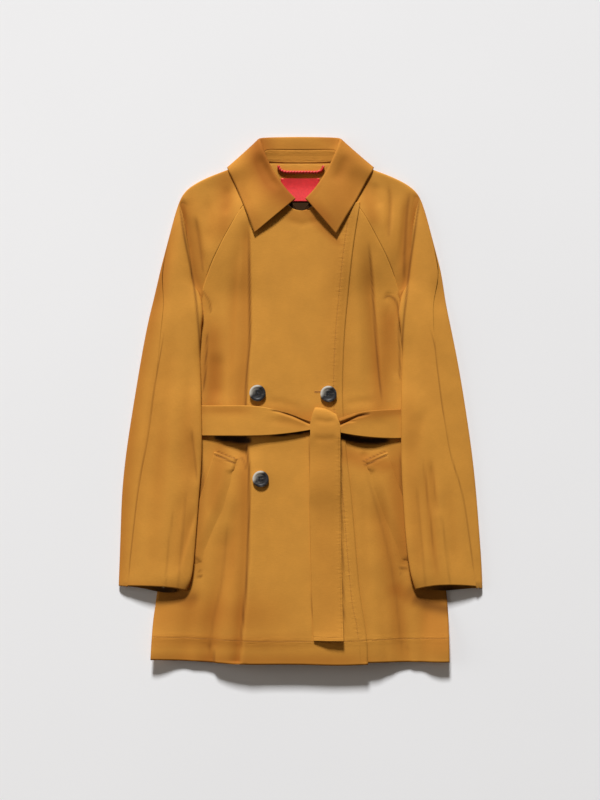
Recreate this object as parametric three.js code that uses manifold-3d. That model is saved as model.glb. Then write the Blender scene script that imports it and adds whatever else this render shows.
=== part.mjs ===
// A short double-breasted raglan trench coat with its own tied belt, laid flat on its back.
// Millimetres. +Y runs to the collar, +Z up, -X is the wearer's right side. z = 0 is the surface.
// The origin is at the middle of the coat's outline, on that surface.

import * as THREE from 'three';
import Module from 'manifold-3d';
import { mergeVertices } from 'three/addons/utils/BufferGeometryUtils.js';

const wasm = await Module();
wasm.setup();

// Driving dimensions
const CLOTH = 1.5; // one wall of gabardine with its facing or turned edge
const DOUBLE = 2.0; // collar and belt, two layers stitched together
const SEAM = 0.3; // space between two pieces that are sewn edge to edge or face to face
const EASE = 0.8; // space between two curved pieces that only lie on each other
const FILL = 20; // height of the hollow between the back and the fronts
const FILL_REACH = 130; // how far in from the side seam the hollow reaches its height
const FILL_BELOW = 90; // how far below the shoulder it does
const BELT_WIDTH = 49;
const BELT_Y = -32.5; // middle of the belt at the side seams
const BELT_LIFT = DOUBLE + SEAM; // the coat's back lies on the belt here
const COLLAR_LIFT = DOUBLE + 3 * SEAM; // and on the collar's fall here
const COLLAR_LIFT_Y = 346; // the fall's edge under the back, less a margin
const SLEEVE_FILL = 16; // thickness of a sleeve that lies flat
const SLEEVE_EDGE = 4; // radius of the fold at a sleeve's edges
const SHOULDER_EDGE = 2.4; // and along the shoulder
const SLEEVE_COVER = 3.8; // what the sleeve clears besides the front: the belt or the pocket welt
const BUTTON_RADIUS = 13;
const BUTTON_HEIGHT = 4.4;
const LOOP_RADIUS = 2.6;

const OCHRE = 0xc08638;
const RED = 0xb01f1c;
const HORN = 0x3d3833;

const { clamp, lerp } = THREE.MathUtils;

function ease(t) {
  const c = clamp(t, 0, 1);
  return c * c * (3 - 2 * c);
}

// A smooth curve b(a) through hand-set pairs [a, b], with a falling or rising all along.
function through(pairs) {
  const sorted = [...pairs].sort((p, q) => p[0] - q[0]);
  const last = sorted.length - 1;
  const slope = sorted.map((_, i) => {
    const before = sorted[Math.max(i - 1, 0)];
    const after = sorted[Math.min(i + 1, last)];
    return (after[1] - before[1]) / (after[0] - before[0]);
  });
  return (a) => {
    const at = clamp(a, sorted[0][0], sorted[last][0]);
    let i = 0;
    while (i < last - 1 && at > sorted[i + 1][0]) {
      i += 1;
    }
    const span = sorted[i + 1][0] - sorted[i][0];
    const t = (at - sorted[i][0]) / span;
    const s = t * t * (3 - 2 * t);
    const bend = slope[i] * t * (1 - t) ** 2 - slope[i + 1] * t * t * (1 - t);
    return lerp(sorted[i][1], sorted[i + 1][1], s) + bend * span;
  };
}

// ---- Outlines, as x(y) on the wearer's right (-X) and left (+X), both counted outwards ----

const SIDES = {
  right: {
    sign: -1,
    seam: through([[182, 158], [165, 162], [60, 177], [-30, 190], [-150, 208], [-250, 223],
      [-313, 231], [-340, 237], [-422, 242]]),
    inner: through([[182, 158.5], [165, 163.5], [124, 165], [65, 161], [-1, 159], [-88, 158],
      [-161, 163], [-226, 168], [-275, 172], [-292, 175], [-308, 183]]),
    outer: through([[182, 234], [116, 250], [-5, 271], [-91, 284], [-150, 290], [-208, 292],
      [-308, 295.3]]),
    overArm: through([[182, 218], [110, 225], [46, 231], [-64, 246], [-129, 258], [-194, 267],
      [-308, 279]]),
    cuff: through([[0, -307], [0.15, -302.5], [0.4, -299.5], [1, -299]]),
  },
  left: {
    sign: 1,
    seam: through([[182, 158], [165, 163], [60, 177], [-30, 190], [-150, 208], [-250, 225],
      [-313, 237], [-340, 239], [-422, 240.5]]),
    inner: through([[182, 158.5], [165, 165], [124, 167], [72, 163], [-15, 161], [-130, 162],
      [-169, 165], [-218, 168], [-263, 173], [-290, 178], [-308, 184]]),
    outer: through([[182, 231], [134, 241], [60, 256], [-32, 271], [-114, 282], [-208, 290],
      [-267, 294], [-308, 295.3]]),
    overArm: through([[182, 213], [90, 216], [49, 221], [-7, 228], [-90, 242], [-160, 259],
      [-308, 284]]),
    cuff: through([[0, -305], [0.18, -300], [0.42, -297], [0.75, -298.5], [1, -302]]),
  },
};

// Half width of the filled coat: the side seams, then round the sleeve heads to the shoulders.
const torsoWidth = through([[-422, 241], [-313, 233], [-150, 208], [-30, 190], [100, 171],
  [170, 163], [188, 173], [210, 190], [235, 203], [262, 209], [300, 205], [320, 198], [337, 189],
  [351, 171], [366, 144], [380, 110], [398, 66]]);
const shoulderY = through([[0, 400], [66, 398], [110, 380], [144, 366], [171, 351], [189, 337],
  [205, 300], [242, 262]]);

// The two front edges: the upper front laps over the lower one.
const upperFrontEdge = through([[320, 96], [242, 84], [163, 76], [93, 70], [-1, 68], [-80, 74],
  [-161, 83], [-258, 91], [-329, 98], [-357, 104], [-392, 108], [-427, 108.5]]);
const lowerFrontEdge = through([[318, -84], [268, -83], [163, -82], [98, -83], [49, -87],
  [-4, -89], [-64, -88], [-113, -83], [-161, -83], [-258, -85], [-323, -90], [-375, -95],
  [-427, -98]]);

// Where a raglan seam starts at the neck and ends at the underarm, front and back.
const RAGLAN_FRONT = through([[352, 58], [330, 79.5], [309, 97], [289, 109], [269, 120],
  [249, 130.5], [230, 140], [203, 151], [182, 158]]);
const RAGLAN_BACK = through([[384, 52], [350, 74], [315, 96], [270, 122], [230, 142], [203, 152],
  [182, 158]]);

// Rows of a sleeve head, from the neck to the underarm: raglan seam y on the front and back,
// the point on the shoulder's fold, how far across the cloth folds up over the arm, and by how much.
const HEAD_ROWS = [
  { front: 352, back: 384, edge: [70, 394], fold: 0.3, step: 0 },
  { front: 330, back: 356, edge: [92, 385], fold: 0.3, step: 0 },
  { front: 309, back: 330, edge: [115, 373.5], fold: 0.32, step: 0 },
  { front: 289, back: 306, edge: [143, 364], fold: 0.36, step: 0 },
  { front: 269, back: 284, edge: [171, 351], fold: 0.42, step: 0 },
  { front: 249, back: 262, edge: [189, 337], fold: 0.52, step: 0.5 },
  { front: 230, back: 242, edge: [198, 318], fold: 0.64, step: 2 },
  { front: 216, back: 224, edge: [206, 290], fold: 0.66, step: 5.5 },
  { front: 203, back: 208, edge: [214, 260], fold: 0.48, step: 8 },
  { front: 192, back: 194, edge: [222, 230], fold: 0.3, step: 9 },
  { front: 182, back: 182, edge: [230, 200], fold: 0.2, step: 9.5 },
];
const SLEEVE_ROWS = [160, 135, 105, 70, 35, 15, -5, -33, -60, -80, -115, -155, -195, -235, -270,
  -292, -308];

// ---- The lie of the coat ----

// Soft dents and troughs in the fronts: a line of points, half width, and the share of fill taken.
const FOLDS = [
  { line: [[-112, -66], [-94, -72]], width: 20, take: 0.55 },
  { line: [[98, -70], [128, -72]], width: 21, take: 0.5 },
  { line: [[-117, -194], [-127, -291], [-143, -356], [-153, -425]], width: 17, take: 0.3 },
  { line: [[150, -300], [165, -425]], width: 24, take: 0.28 },
  { line: [[-134, 90], [-134, -8]], width: 15, take: 0.3 },
  { line: [[116, 262], [114, 211], [122, 114], [126, 49], [131, -8]], width: 13, take: 0.24 },
  { line: [[-98, 245], [-103, 180], [-109, 110]], width: 15, take: 0.12 },
  { line: [[96, -150], [104, -250], [110, -330]], width: 16, take: 0.1 },
];

function distanceToLine(x, y, line) {
  let nearest = Infinity;
  for (let i = 0; i + 1 < line.length; i += 1) {
    const [ax, ay] = line[i];
    const [bx, by] = line[i + 1];
    const lengthSquared = (bx - ax) ** 2 + (by - ay) ** 2;
    const share = clamp(((x - ax) * (bx - ax) + (y - ay) * (by - ay)) / lengthSquared, 0, 1);
    nearest = Math.min(nearest, Math.hypot(x - lerp(ax, bx, share), y - lerp(ay, by, share)));
  }
  return nearest;
}

function foldShare(x, y) {
  return FOLDS.reduce((left, fold) => {
    const d = distanceToLine(x, y, fold.line) / fold.width;
    return left * (1 - fold.take * Math.exp(-d * d));
  }, 1);
}

// How much the coat's underside is raised over the belt and over the collar's fall.
function lift(y) {
  const fromBelt = Math.abs(y - BELT_Y) - BELT_WIDTH / 2 - 3;
  return BELT_LIFT * ease(1 - fromBelt / 20) + COLLAR_LIFT * ease((y - COLLAR_LIFT_Y) / 12);
}

function fillHeight(x, y) {
  const inwards = (torsoWidth(y) - Math.abs(x)) / FILL_REACH;
  const below = (shoulderY(Math.abs(x)) - y) / FILL_BELOW;
  const drawnIn = 1 - 0.16 * Math.exp(-(((y - BELT_Y) / 42) ** 2));
  return FILL * ease(inwards) * ease(below) * drawnIn * foldShare(x, y);
}

// Top of a single front layer, and of the coat with the upper front's lap.
function layerTop(x, y) {
  return lift(y) + CLOTH + SEAM + fillHeight(x, y) + CLOTH;
}

function lapStep(x, y) {
  return (CLOTH + EASE) * ease((x - lowerFrontEdge(y) + 24) / 18);
}

function upperFrontTop(x, y) {
  return layerTop(x, y) + lapStep(x, y);
}

SIDES.right.yokeTop = upperFrontTop;
SIDES.left.yokeTop = layerTop;

// ---- Solids from grids of points ----

function signedVolume(positions, triangles) {
  const [a, b, c] = [new THREE.Vector3(), new THREE.Vector3(), new THREE.Vector3()];
  let volume = 0;
  for (let i = 0; i < triangles.length; i += 3) {
    a.fromArray(positions, triangles[i] * 3);
    b.fromArray(positions, triangles[i + 1] * 3);
    c.fromArray(positions, triangles[i + 2] * 3);
    volume += a.dot(b.cross(c)) / 6;
  }
  return volume;
}

// A closed wall between two grids of the same size: their faces and the rim that joins them.
function shell(outerRows, innerRows) {
  const rows = outerRows.length;
  const columns = outerRows[0].length;
  const positions = [...outerRows.flat(), ...innerRows.flat()].flatMap((p) => [p.x, p.y, p.z]);
  const outer = (i, j) => i * columns + j;
  const inner = (i, j) => rows * columns + i * columns + j;
  const triangles = [];
  const quad = (a, b, c, d) => triangles.push(a, b, c, a, c, d);
  for (let i = 0; i + 1 < rows; i += 1) {
    for (let j = 0; j + 1 < columns; j += 1) {
      quad(outer(i, j), outer(i, j + 1), outer(i + 1, j + 1), outer(i + 1, j));
      quad(inner(i, j), inner(i + 1, j), inner(i + 1, j + 1), inner(i, j + 1));
    }
    quad(outer(i, 0), outer(i + 1, 0), inner(i + 1, 0), inner(i, 0));
    quad(outer(i, columns - 1), inner(i, columns - 1), inner(i + 1, columns - 1), outer(i + 1, columns - 1));
  }
  for (let j = 0; j + 1 < columns; j += 1) {
    quad(outer(0, j), inner(0, j), inner(0, j + 1), outer(0, j + 1));
    quad(outer(rows - 1, j), outer(rows - 1, j + 1), inner(rows - 1, j + 1), inner(rows - 1, j));
  }
  if (signedVolume(positions, triangles) < 0) {
    triangles.reverse();
  }
  const geometry = new THREE.BufferGeometry();
  geometry.setAttribute('position', new THREE.Float32BufferAttribute(positions, 3));
  geometry.setIndex(triangles);
  geometry.computeVertexNormals();
  return geometry;
}

// A panel that lies nearly flat: its thickness is measured straight down.
function flatWall(rows, thickness) {
  return shell(rows, rows.map((row) => row.map((p) => new THREE.Vector3(p.x, p.y, p.z - thickness))));
}

// The inner face of cloth that turns over: its points moved square to the outer face. The sign of
// "thickness" says to which side of the face, by the right-hand rule from rows to columns.
function movedSquare(rows, thickness) {
  const lastRow = rows.length - 1;
  const lastColumn = rows[0].length - 1;
  return rows.map((row, i) => row.map((p, j) => {
    const before = rows[Math.max(i - 1, 0)][j];
    const along = rows[Math.min(i + 1, lastRow)][j].clone().sub(before);
    const across = row[Math.min(j + 1, lastColumn)].clone().sub(row[Math.max(j - 1, 0)]);
    return p.clone().addScaledVector(along.cross(across).normalize(), thickness);
  }));
}

function turnedWall(rows, thickness) {
  return shell(rows, movedSquare(rows, thickness));
}

const coat = new THREE.Group();

function add(name, geometry, color = OCHRE, roughness = 0.85) {
  const mesh = new THREE.Mesh(geometry, new THREE.MeshStandardMaterial({ color, roughness, metalness: 0 }));
  mesh.name = name;
  coat.add(mesh);
  return mesh;
}

// ---- Back panel ----

function backPanel() {
  const heights = [384, 371, 358, 346, 330, 306, 284, 262, 224, 194, 182, 110, 15, -5, -60, -80, -160, -250,
    -340, -400, -419];
  const columns = 6;
  const rows = heights.map((y) => {
    const reach = (side) => side.sign * (y > 182 ? RAGLAN_BACK(y) : side.seam(y));
    return Array.from({ length: columns + 1 }, (_, j) => {
      const x = lerp(reach(SIDES.right), reach(SIDES.left), j / columns);
      const neckDip = y === heights[0] ? 4 * (1 - (x / 52) ** 2) : 0;
      return new THREE.Vector3(x, y - neckDip, lift(y) + CLOTH);
    });
  });
  return flatWall(rows, CLOTH);
}

// ---- Fronts ----

const FRONT_ROWS = [-423, -400, -375, -345, -310, -275, -240, -200, -160, -125, -100, -80, -60, -33,
  -5, 15, 45, 80, 115, 150, 167, 182, 203, 230, 249, 269, 289];
const FRONT_COLUMNS = 12;
const NECK_SEAM_Y = [309, 330, 352]; // rows above the last one, by their ends on the raglan seam
const NECK_LOW_Y = 304; // the neckline at the centre front
const NECK_REACH = 58; // half the neck's width, at the raglan seams
const NECK_RISE = 48; // how much higher the neckline is there
const LAPEL_REACH = 96; // where a neckline meets the front edge, past the centre
const LAPEL_RISE = 16;
const HEM_SHAPED = 60; // how far above the hem the rows start to follow it

const hemUpperFront = through([[-243, -418], [-177, -421], [-95, -425], [0, -425], [62, -427],
  [109, -425]]);

function necklineY(x, raglanSide) {
  const towardsRaglan = Math.sign(x) === raglanSide;
  const reach = Math.abs(x);
  return NECK_LOW_Y
    + (towardsRaglan ? NECK_RISE * (reach / NECK_REACH) ** 1.6 : LAPEL_RISE * (reach / LAPEL_REACH));
}

// One front, as rows of plan points from the hem to the neckline. The first column is on the
// side and raglan seam, the last on the front edge.
function frontPlan(side, frontEdge, hem) {
  const seamX = (y) => side.sign * (y > 182 ? RAGLAN_FRONT(y) : side.seam(y));
  const acrossRow = (from, to) => Array.from({ length: FRONT_COLUMNS + 1 }, (_, j) => {
    const share = j / FRONT_COLUMNS;
    return [lerp(from[0], to[0], share), lerp(from[1], to[1], share)];
  });
  const rows = FRONT_ROWS.map((y) => acrossRow([seamX(y), y], [frontEdge(y), y]).map(([x]) => {
    const towardsHem = 1 - ease((y - FRONT_ROWS[0]) / HEM_SHAPED);
    return [x, y + (hem(x) - FRONT_ROWS[0]) * towardsHem];
  }));
  const base = rows[rows.length - 1];
  const cornerX = frontEdge(NECK_LOW_Y + LAPEL_RISE);
  const neckline = acrossRow([side.sign * NECK_REACH, 0], [cornerX, 0])
    .map(([x]) => [x, necklineY(x, side.sign)]);
  NECK_SEAM_Y.forEach((seamY, k) => {
    const t = (k + 1) / NECK_SEAM_Y.length;
    const straight = base.map(([x, y], j) => [lerp(x, neckline[j][0], t), lerp(y, neckline[j][1], t)]);
    const edgeY = straight[FRONT_COLUMNS][1];
    const atSeam = [seamX(seamY) - straight[0][0], seamY - straight[0][1]];
    const atEdge = frontEdge(edgeY) - straight[FRONT_COLUMNS][0];
    rows.push(straight.map(([x, y], j) => {
      const share = j / FRONT_COLUMNS;
      return [x + (1 - share) * atSeam[0] + share * atEdge, y + (1 - share) * atSeam[1]];
    }));
  });
  return rows;
}

function frontGrid(side, frontEdge, hem, topAt) {
  return frontPlan(side, frontEdge, hem).map((row) => (
    row.map(([x, y]) => new THREE.Vector3(x, y, topAt(x, y)))
  ));
}

// The lower front sinks a little where the upper one covers it.
function lowerFrontTop(x, y) {
  const covered = ease((upperFrontEdge(y) - 6 - x) / 20);
  return layerTop(x, y) - 1.6 * covered * ease(fillHeight(x, y) / 6);
}

// ---- Sleeves ----

// What the sleeve's underside rests on: the front beside the side seam, or the surface.
function restHeight(side, x, y) {
  const past = x - side.seam(y);
  const cover = SLEEVE_COVER * ease((40 - y) / 25) * ease((y + 312) / 16);
  const onFront = layerTop(side.sign * Math.min(x, side.seam(y)), y) + EASE + cover;
  return onFront * (1 - ease((past - 8) / 9));
}

// A section of a sleeve below the underarm at height y, as two runs of [x, y, z] points.
function tubeSection(side, y) {
  const inner = side.inner(y);
  const outer = side.outer(y);
  const width = outer - inner;
  const edge = SLEEVE_EDGE / width;
  const rest = restHeight(side, inner, y);
  const bornHere = ease((182 - y) / 60); // the fold at the inner edge grows from the underarm
  const fill = SLEEVE_FILL * lerp(0.72, 1, bornHere);
  const top = (w) => rest * (1 - w) ** 1.5 + fill * (0.4 + 0.6 * Math.sin(Math.PI * w) ** 0.8);
  const at = (w, z) => {
    const flatten = ease((-y - 235) / 73);
    const cuffY = lerp(y, side.cuff(w) + (y + 308), flatten);
    return [inner + w * width, cuffY, z];
  };
  const round = (turn, fromInner) => {
    const w = fromInner ? edge - edge * Math.sin(turn) : 1 - edge + edge * Math.sin(turn);
    const low = fromInner ? rest : 0;
    const high = top(fromInner ? edge : 1 - edge);
    return at(w, (high + low) / 2 + ((high - low) / 2) * Math.cos(turn));
  };
  const seamW = (side.overArm(y) - inner) / width;
  const underW = lerp(0.03, 0.16, bornHere);
  const gap = (SEAM + 0.1) / width;
  const underGap = (SEAM + 0.1 + 1.8 * (1 - bornHere)) / width;
  const outerRun = (p) => (p < 1
    ? at(lerp(0.55, 1 - edge, p), top(lerp(0.55, 1 - edge, p)))
    : round((p - 1) * Math.PI, false));
  const seamP = (seamW - 0.55) / (0.45 - edge);
  const seamX = side.seam(y);
  const shoulderW = Math.max(underW + 0.07, (seamX + 7 - inner) / width);
  const front = [
    at(underW, restHeight(side, inner + underW * width, y)),
    round(Math.PI * 0.92, true),
    round(Math.PI * 0.5, true),
    round(0, true),
    at(0.14, top(0.14)),
    at(0.32, top(0.32)),
    outerRun(0),
    outerRun(seamP * 0.66),
    outerRun(seamP * 0.84),
    outerRun(seamP - gap),
  ];
  const back = [
    outerRun(seamP + gap),
    outerRun(lerp(seamP, 1, 0.6)),
    outerRun(1.08),
    outerRun(1.5),
    outerRun(2),
    at(lerp(1 - edge, shoulderW + 13 / width, 0.5), 0),
    at(shoulderW + 13 / width, 0),
    at(shoulderW, restHeight(side, inner + shoulderW * width, y)),
    at(underW + underGap, restHeight(side, inner + (underW + underGap) * width, y)),
  ];
  return { front, back };
}

// A section of the sleeve head, from the front raglan seam over the shoulder to the back one.
function headSection(side, row) {
  const start = [RAGLAN_FRONT(row.front) + SEAM + 0.5, row.front];
  const finish = [RAGLAN_BACK(row.back) + SEAM + 0.2, row.back];
  const [edgeX, edgeY] = row.edge;
  const across = Math.hypot(edgeX - start[0], edgeY - start[1]);
  const edge = SHOULDER_EDGE / across;
  const plan = (w) => [lerp(start[0], edgeX, w), lerp(start[1], edgeY, w)];
  const top = (w) => {
    const [x, y] = plan(w);
    const past = (w - row.fold) / (1 - row.fold);
    const rise = ease(past / 0.3) * Math.cos((Math.PI / 2) * clamp(past, 0, 1) ** 2.2);
    const shoulderRound = 3.4 * ease((w - 0.4) / 0.4);
    return side.yokeTop(side.sign * x, y) + row.step * rise + shoulderRound;
  };
  const at = (w, z) => [...plan(w), z];
  const low = (w) => lift(plan(w)[1]);
  const outerRun = (p) => {
    const from = lerp(row.fold, 1 - edge, 0.7);
    if (p < 1) {
      const w = lerp(from, 1 - edge, p);
      return at(w, top(w));
    }
    const turn = (p - 1) * Math.PI;
    const w = 1 - edge + edge * Math.sin(turn);
    const high = top(1 - edge);
    const bottom = low(1);
    return at(w, (high + bottom) / 2 + ((high - bottom) / 2) * Math.cos(turn));
  };
  const seamP = row.seam;
  const gap = (SEAM + 0.3) / 12;
  const over = (share) => lerp(row.fold, 1 - edge, share);
  const front = [
    ...[0, 0.33, 0.67, 1].map((share) => at(row.fold * share, top(row.fold * share))),
    ...[0.22, 0.46].map((share) => at(over(share), top(over(share)))),
    outerRun(0),
    outerRun(seamP * 0.66),
    outerRun(seamP * 0.84),
    outerRun(seamP - gap),
  ];
  const under = (share) => {
    const x = lerp(outerRun(2)[0], finish[0], share);
    const y = lerp(outerRun(2)[1], finish[1], share);
    return [x, y, lift(y)];
  };
  const back = [
    outerRun(seamP + gap),
    outerRun(lerp(seamP, 2, 0.35)),
    outerRun(lerp(seamP, 2, 0.6)),
    outerRun(lerp(seamP, 2, 0.8)),
    outerRun(2),
    under(0.25),
    under(0.5),
    under(0.75),
    under(1),
  ];
  return { front, back };
}

function sleeve(side) {
  const heads = HEAD_ROWS.map((row, i) => {
    const seam = lerp(1.5, 0.75, ease((i - 6) / 5));
    return headSection(side, { ...row, seam });
  });
  const sections = [...heads, ...SLEEVE_ROWS.map((y) => tubeSection(side, y))];
  const outside = sections.map(({ front, back }) => (
    [...front, ...back].map(([x, y, z]) => new THREE.Vector3(side.sign * x, y, z))
  ));
  const inside = movedSquare(outside, -side.sign * CLOTH);
  const seamColumn = sections[0].front.length;
  const frontOf = (row) => row.slice(0, seamColumn);
  const backOf = (row) => row.slice(seamColumn);
  return {
    front: shell(outside.map(frontOf), inside.map(frontOf)),
    back: shell(outside.map(backOf), inside.map(backOf)),
  };
}

const frontRows = {
  left: frontGrid(SIDES.left, lowerFrontEdge, () => -422.5, lowerFrontTop),
  right: frontGrid(SIDES.right, upperFrontEdge, hemUpperFront, upperFrontTop),
};

// Height of a grid's facets over a plan point, or null past its outline.
function facetHeight(rows, x, y) {
  const inTriangle = ([a, b, c]) => {
    const area = (b.x - a.x) * (c.y - a.y) - (c.x - a.x) * (b.y - a.y);
    const v = ((x - a.x) * (c.y - a.y) - (c.x - a.x) * (y - a.y)) / area;
    const w = ((b.x - a.x) * (y - a.y) - (x - a.x) * (b.y - a.y)) / area;
    return v >= 0 && w >= 0 && v + w <= 1 ? a.z + v * (b.z - a.z) + w * (c.z - a.z) : null;
  };
  for (let i = 0; i + 1 < rows.length; i += 1) {
    for (let j = 0; j + 1 < rows[0].length; j += 1) {
      const [a, b, c, d] = [rows[i][j], rows[i][j + 1], rows[i + 1][j + 1], rows[i + 1][j]];
      const height = inTriangle([a, b, c]) ?? inTriangle([a, c, d]);
      if (height !== null) {
        return height;
      }
    }
  }
  return null;
}

// What a piece laid on the coat rests on at a plan point.
function coatTop(x, y) {
  return facetHeight(frontRows.right, x, y) ?? facetHeight(frontRows.left, x, y) ?? layerTop(x, y);
}

// ---- Collar and neck ----

// Cross-sections of the collar from the wearer's right front end to the centre back. "neck" is the
// seam on the neckline, "stand" the seam between the stand and the fall, "roll" the line where the
// fall turns over, "edge" its outer edge. Heights up to SHOULDER_SECTION are above the coat.
const COLLAR_SECTIONS = [
  { neck: [-4, 309, 0.5], stand: [-11, 320, 4], roll: [-8, 324.5, 9], edge: [-74, 269, 5.5] },
  { neck: [-20, 318, 1], stand: [-25, 333, 4.5], roll: [-21, 338, 10], edge: [-84, 297, 4.8] },
  { neck: [-38, 334, 2], stand: [-38, 350, 5.5], roll: [-33, 354, 11], edge: [-94, 321, 4.6] },
  { neck: [-54, 352, 2.5], stand: [-51.5, 370.5, 6.5], roll: [-46, 375, 12], edge: [-105, 348, 5.2] },
  { neck: [-62, 370, 9], stand: [-60, 389, 13], roll: [-57, 398, 20], edge: [-114.5, 367, 13.2] },
  { neck: [-60, 382, 8.2], stand: [-58, 399, 11.5], roll: [-63, 414, 16.5], edge: [-118.4, 375.5, 9] },
  { neck: [-56.5, 386, 6.8], stand: [-54.5, 402, 9], roll: [-67, 422.5, 10], edge: [-118, 377.5, 3.4] },
  { neck: [-50, 387, 5], stand: [-48.5, 403, 7.6], roll: [-60, 425.6, 3.2], edge: [-109, 373, 0.3] },
  { neck: [-34, 386, 4.6], stand: [-34, 403, 6.6], roll: [-34, 426.4, 3.1], edge: [-60, 366, 0.3] },
  { neck: [0, 385.4, 4.6], stand: [0, 402.6, 6.6], roll: [0, 426.8, 3.1], edge: [0, 365, 0.3] },
];
const SHOULDER_SECTION = 4;
const ROLL_RADIUS = [2.6, 2.8, 3, 3.4, 4.4, 5, 4, 2.9, 2.9, 2.9]; // of each section
// The left half is the right one mirrored, a little narrower at the roll and with its tip nearer.
const LEFT_SHIFT = { neck: 1, stand: 1, roll: 0.965, edge: 1 };
const LEFT_TIP = [57.5, 267];

function placed([x, y, z], section) {
  return new THREE.Vector3(x, y, section < SHOULDER_SECTION ? coatTop(x, y) + z : z);
}

function mirrored(section, index) {
  const copy = {};
  for (const [name, [x, y, z]] of Object.entries(section)) {
    copy[name] = [-x * LEFT_SHIFT[name], y, z];
  }
  if (index < SHOULDER_SECTION) {
    const share = 1 - index / SHOULDER_SECTION;
    const [x, y, z] = copy.edge;
    copy.edge = [x - (74 - LEFT_TIP[0]) * share ** 1.6, y - (269 - LEFT_TIP[1]) * share, z];
  }
  return copy;
}

// All sections round the neck, each line as a smooth curve with "steps" points between sections.
function roundTheNeck(name, steps) {
  const half = COLLAR_SECTIONS.map((section, i) => placed(section[name], i));
  const other = COLLAR_SECTIONS.slice(0, -1)
    .map((section, i) => placed(mirrored(section, i)[name], i))
    .reverse();
  const points = [...half, ...other];
  const spans = points.length - 1;
  const curve = new THREE.CatmullRomCurve3(points, false, 'catmullrom', 0.5);
  return Array.from({ length: spans * steps + 1 }, (_, i) => curve.getPoint(i / (spans * steps)));
}

function collarAndStand() {
  const steps = 2;
  const [neck, stand, roll, edge] = ['neck', 'stand', 'roll', 'edge']
    .map((name) => roundTheNeck(name, steps));
  const middle = (roll.length - 1) / 2;
  const fallRows = roll.map((top, i) => {
    const tangent = roll[Math.min(i + 1, roll.length - 1)].clone().sub(roll[Math.max(i - 1, 0)]).normalize();
    const squareTo = (point) => {
      const way = point.clone().sub(top);
      return way.addScaledVector(tangent, -way.dot(tangent)).normalize();
    };
    const toStand = squareTo(stand[i]);
    const toEdge = squareTo(edge[i]);
    const outwards = toStand.clone().add(toEdge).negate().normalize();
    const sideways = toStand.clone().sub(toEdge).normalize();
    const section = (middle - Math.abs(i - middle)) / steps;
    const radius = lerp(ROLL_RADIUS[Math.floor(section)], ROLL_RADIUS[Math.ceil(section)], section % 1);
    const bend = (turn) => top.clone()
      .addScaledVector(outwards, radius * (Math.cos(turn) - 1))
      .addScaledVector(sideways, radius * Math.sin(turn));
    const onLeaf = ease((Math.abs(i - middle) / steps - 4.5) / 1.5);
    const leafCrown = (share) => {
      const point = bend(-1.45).lerp(edge[i], share);
      point.z += 2.2 * onLeaf * Math.sin(Math.PI * share) ** 0.7;
      return point;
    };
    const start = stand[i].clone().lerp(top, 0.09);
    const turned = [1.45, 0.7, 0, -0.7, -1.45].map(bend);
    return [start, ...turned, leafCrown(0.3), leafCrown(0.65), edge[i]];
  });
  const standRows = stand.map((top, i) => [neck[i], neck[i].clone().lerp(top, 0.91)]);
  return { fall: turnedWall(fallRows, -DOUBLE), stand: turnedWall(standRows, 0.4 - DOUBLE) };
}

// ---- The neck's inside: facing, label and hanger loop ----

function insideTop(y) {
  return lift(y) + CLOTH + SEAM + 1.2;
}

function backFacing() {
  const rows = [381, 358, 346, 330, 312, 296].map((y, i) => {
    const reach = RAGLAN_BACK(y) - 6 - 5 * i;
    return Array.from({ length: 5 }, (_, j) => {
      const x = lerp(-reach, reach, j / 4);
      return new THREE.Vector3(x, y - (i === 0 ? 3.5 * (1 - (x / reach) ** 2) : 0), insideTop(y));
    });
  });
  return flatWall(rows, 1.2);
}

function neckLabel() {
  const rows = [359, 346, 334, 322].map((y) => (
    [-32, -10, 10, 31].map((x) => new THREE.Vector3(x, y, insideTop(y) + 1.1))
  ));
  return flatWall(rows, 0.8);
}

function sweep(points, radius, sides, steps) {
  const curve = new THREE.CatmullRomCurve3(points.map((p) => new THREE.Vector3(...p)));
  const outline = new THREE.Shape();
  for (let i = 0; i < sides; i += 1) {
    const turn = (2 * Math.PI * i) / sides;
    outline[i === 0 ? 'moveTo' : 'lineTo'](radius * Math.cos(turn), radius * Math.sin(turn));
  }
  return new THREE.ExtrudeGeometry(outline, {
    steps, extrudePath: curve, bevelEnabled: false, curveSegments: 1,
  });
}

function hangerLoop() {
  const rise = insideTop(370) + LOOP_RADIUS + 0.4;
  const route = [[-36, 379.5, rise + 0.6], [-34, 374, rise + 0.4], [-28, 370, rise],
    [-10, 369, rise + 0.5], [10, 369, rise + 0.5], [29, 369.5, rise], [35, 373, rise + 0.4],
    [37, 379.5, rise + 0.6]];
  return sweep(route, LOOP_RADIUS, 8, 22);
}

// ---- Pocket welts ----

// A welt lies on the front: it follows the front's own height, moved out.
function pocketWelt(sign, inner, slant, length, width) {
  const down = new THREE.Vector2(sign * Math.sin(slant), -Math.cos(slant));
  const outwards = new THREE.Vector2(sign * Math.cos(slant), Math.sin(slant));
  const rows = Array.from({ length: 11 }, (_, i) => Array.from({ length: 4 }, (__, j) => {
    const along = (length * i) / 10;
    const across = (width * j) / 3;
    const x = sign * inner[0] + down.x * along + outwards.x * across;
    const y = inner[1] + down.y * along + outwards.y * across;
    return new THREE.Vector3(x, y, coatTop(x, y) + 2 * EASE + CLOTH);
  }));
  return flatWall(rows, CLOTH);
}

// ---- Belt ----

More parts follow.
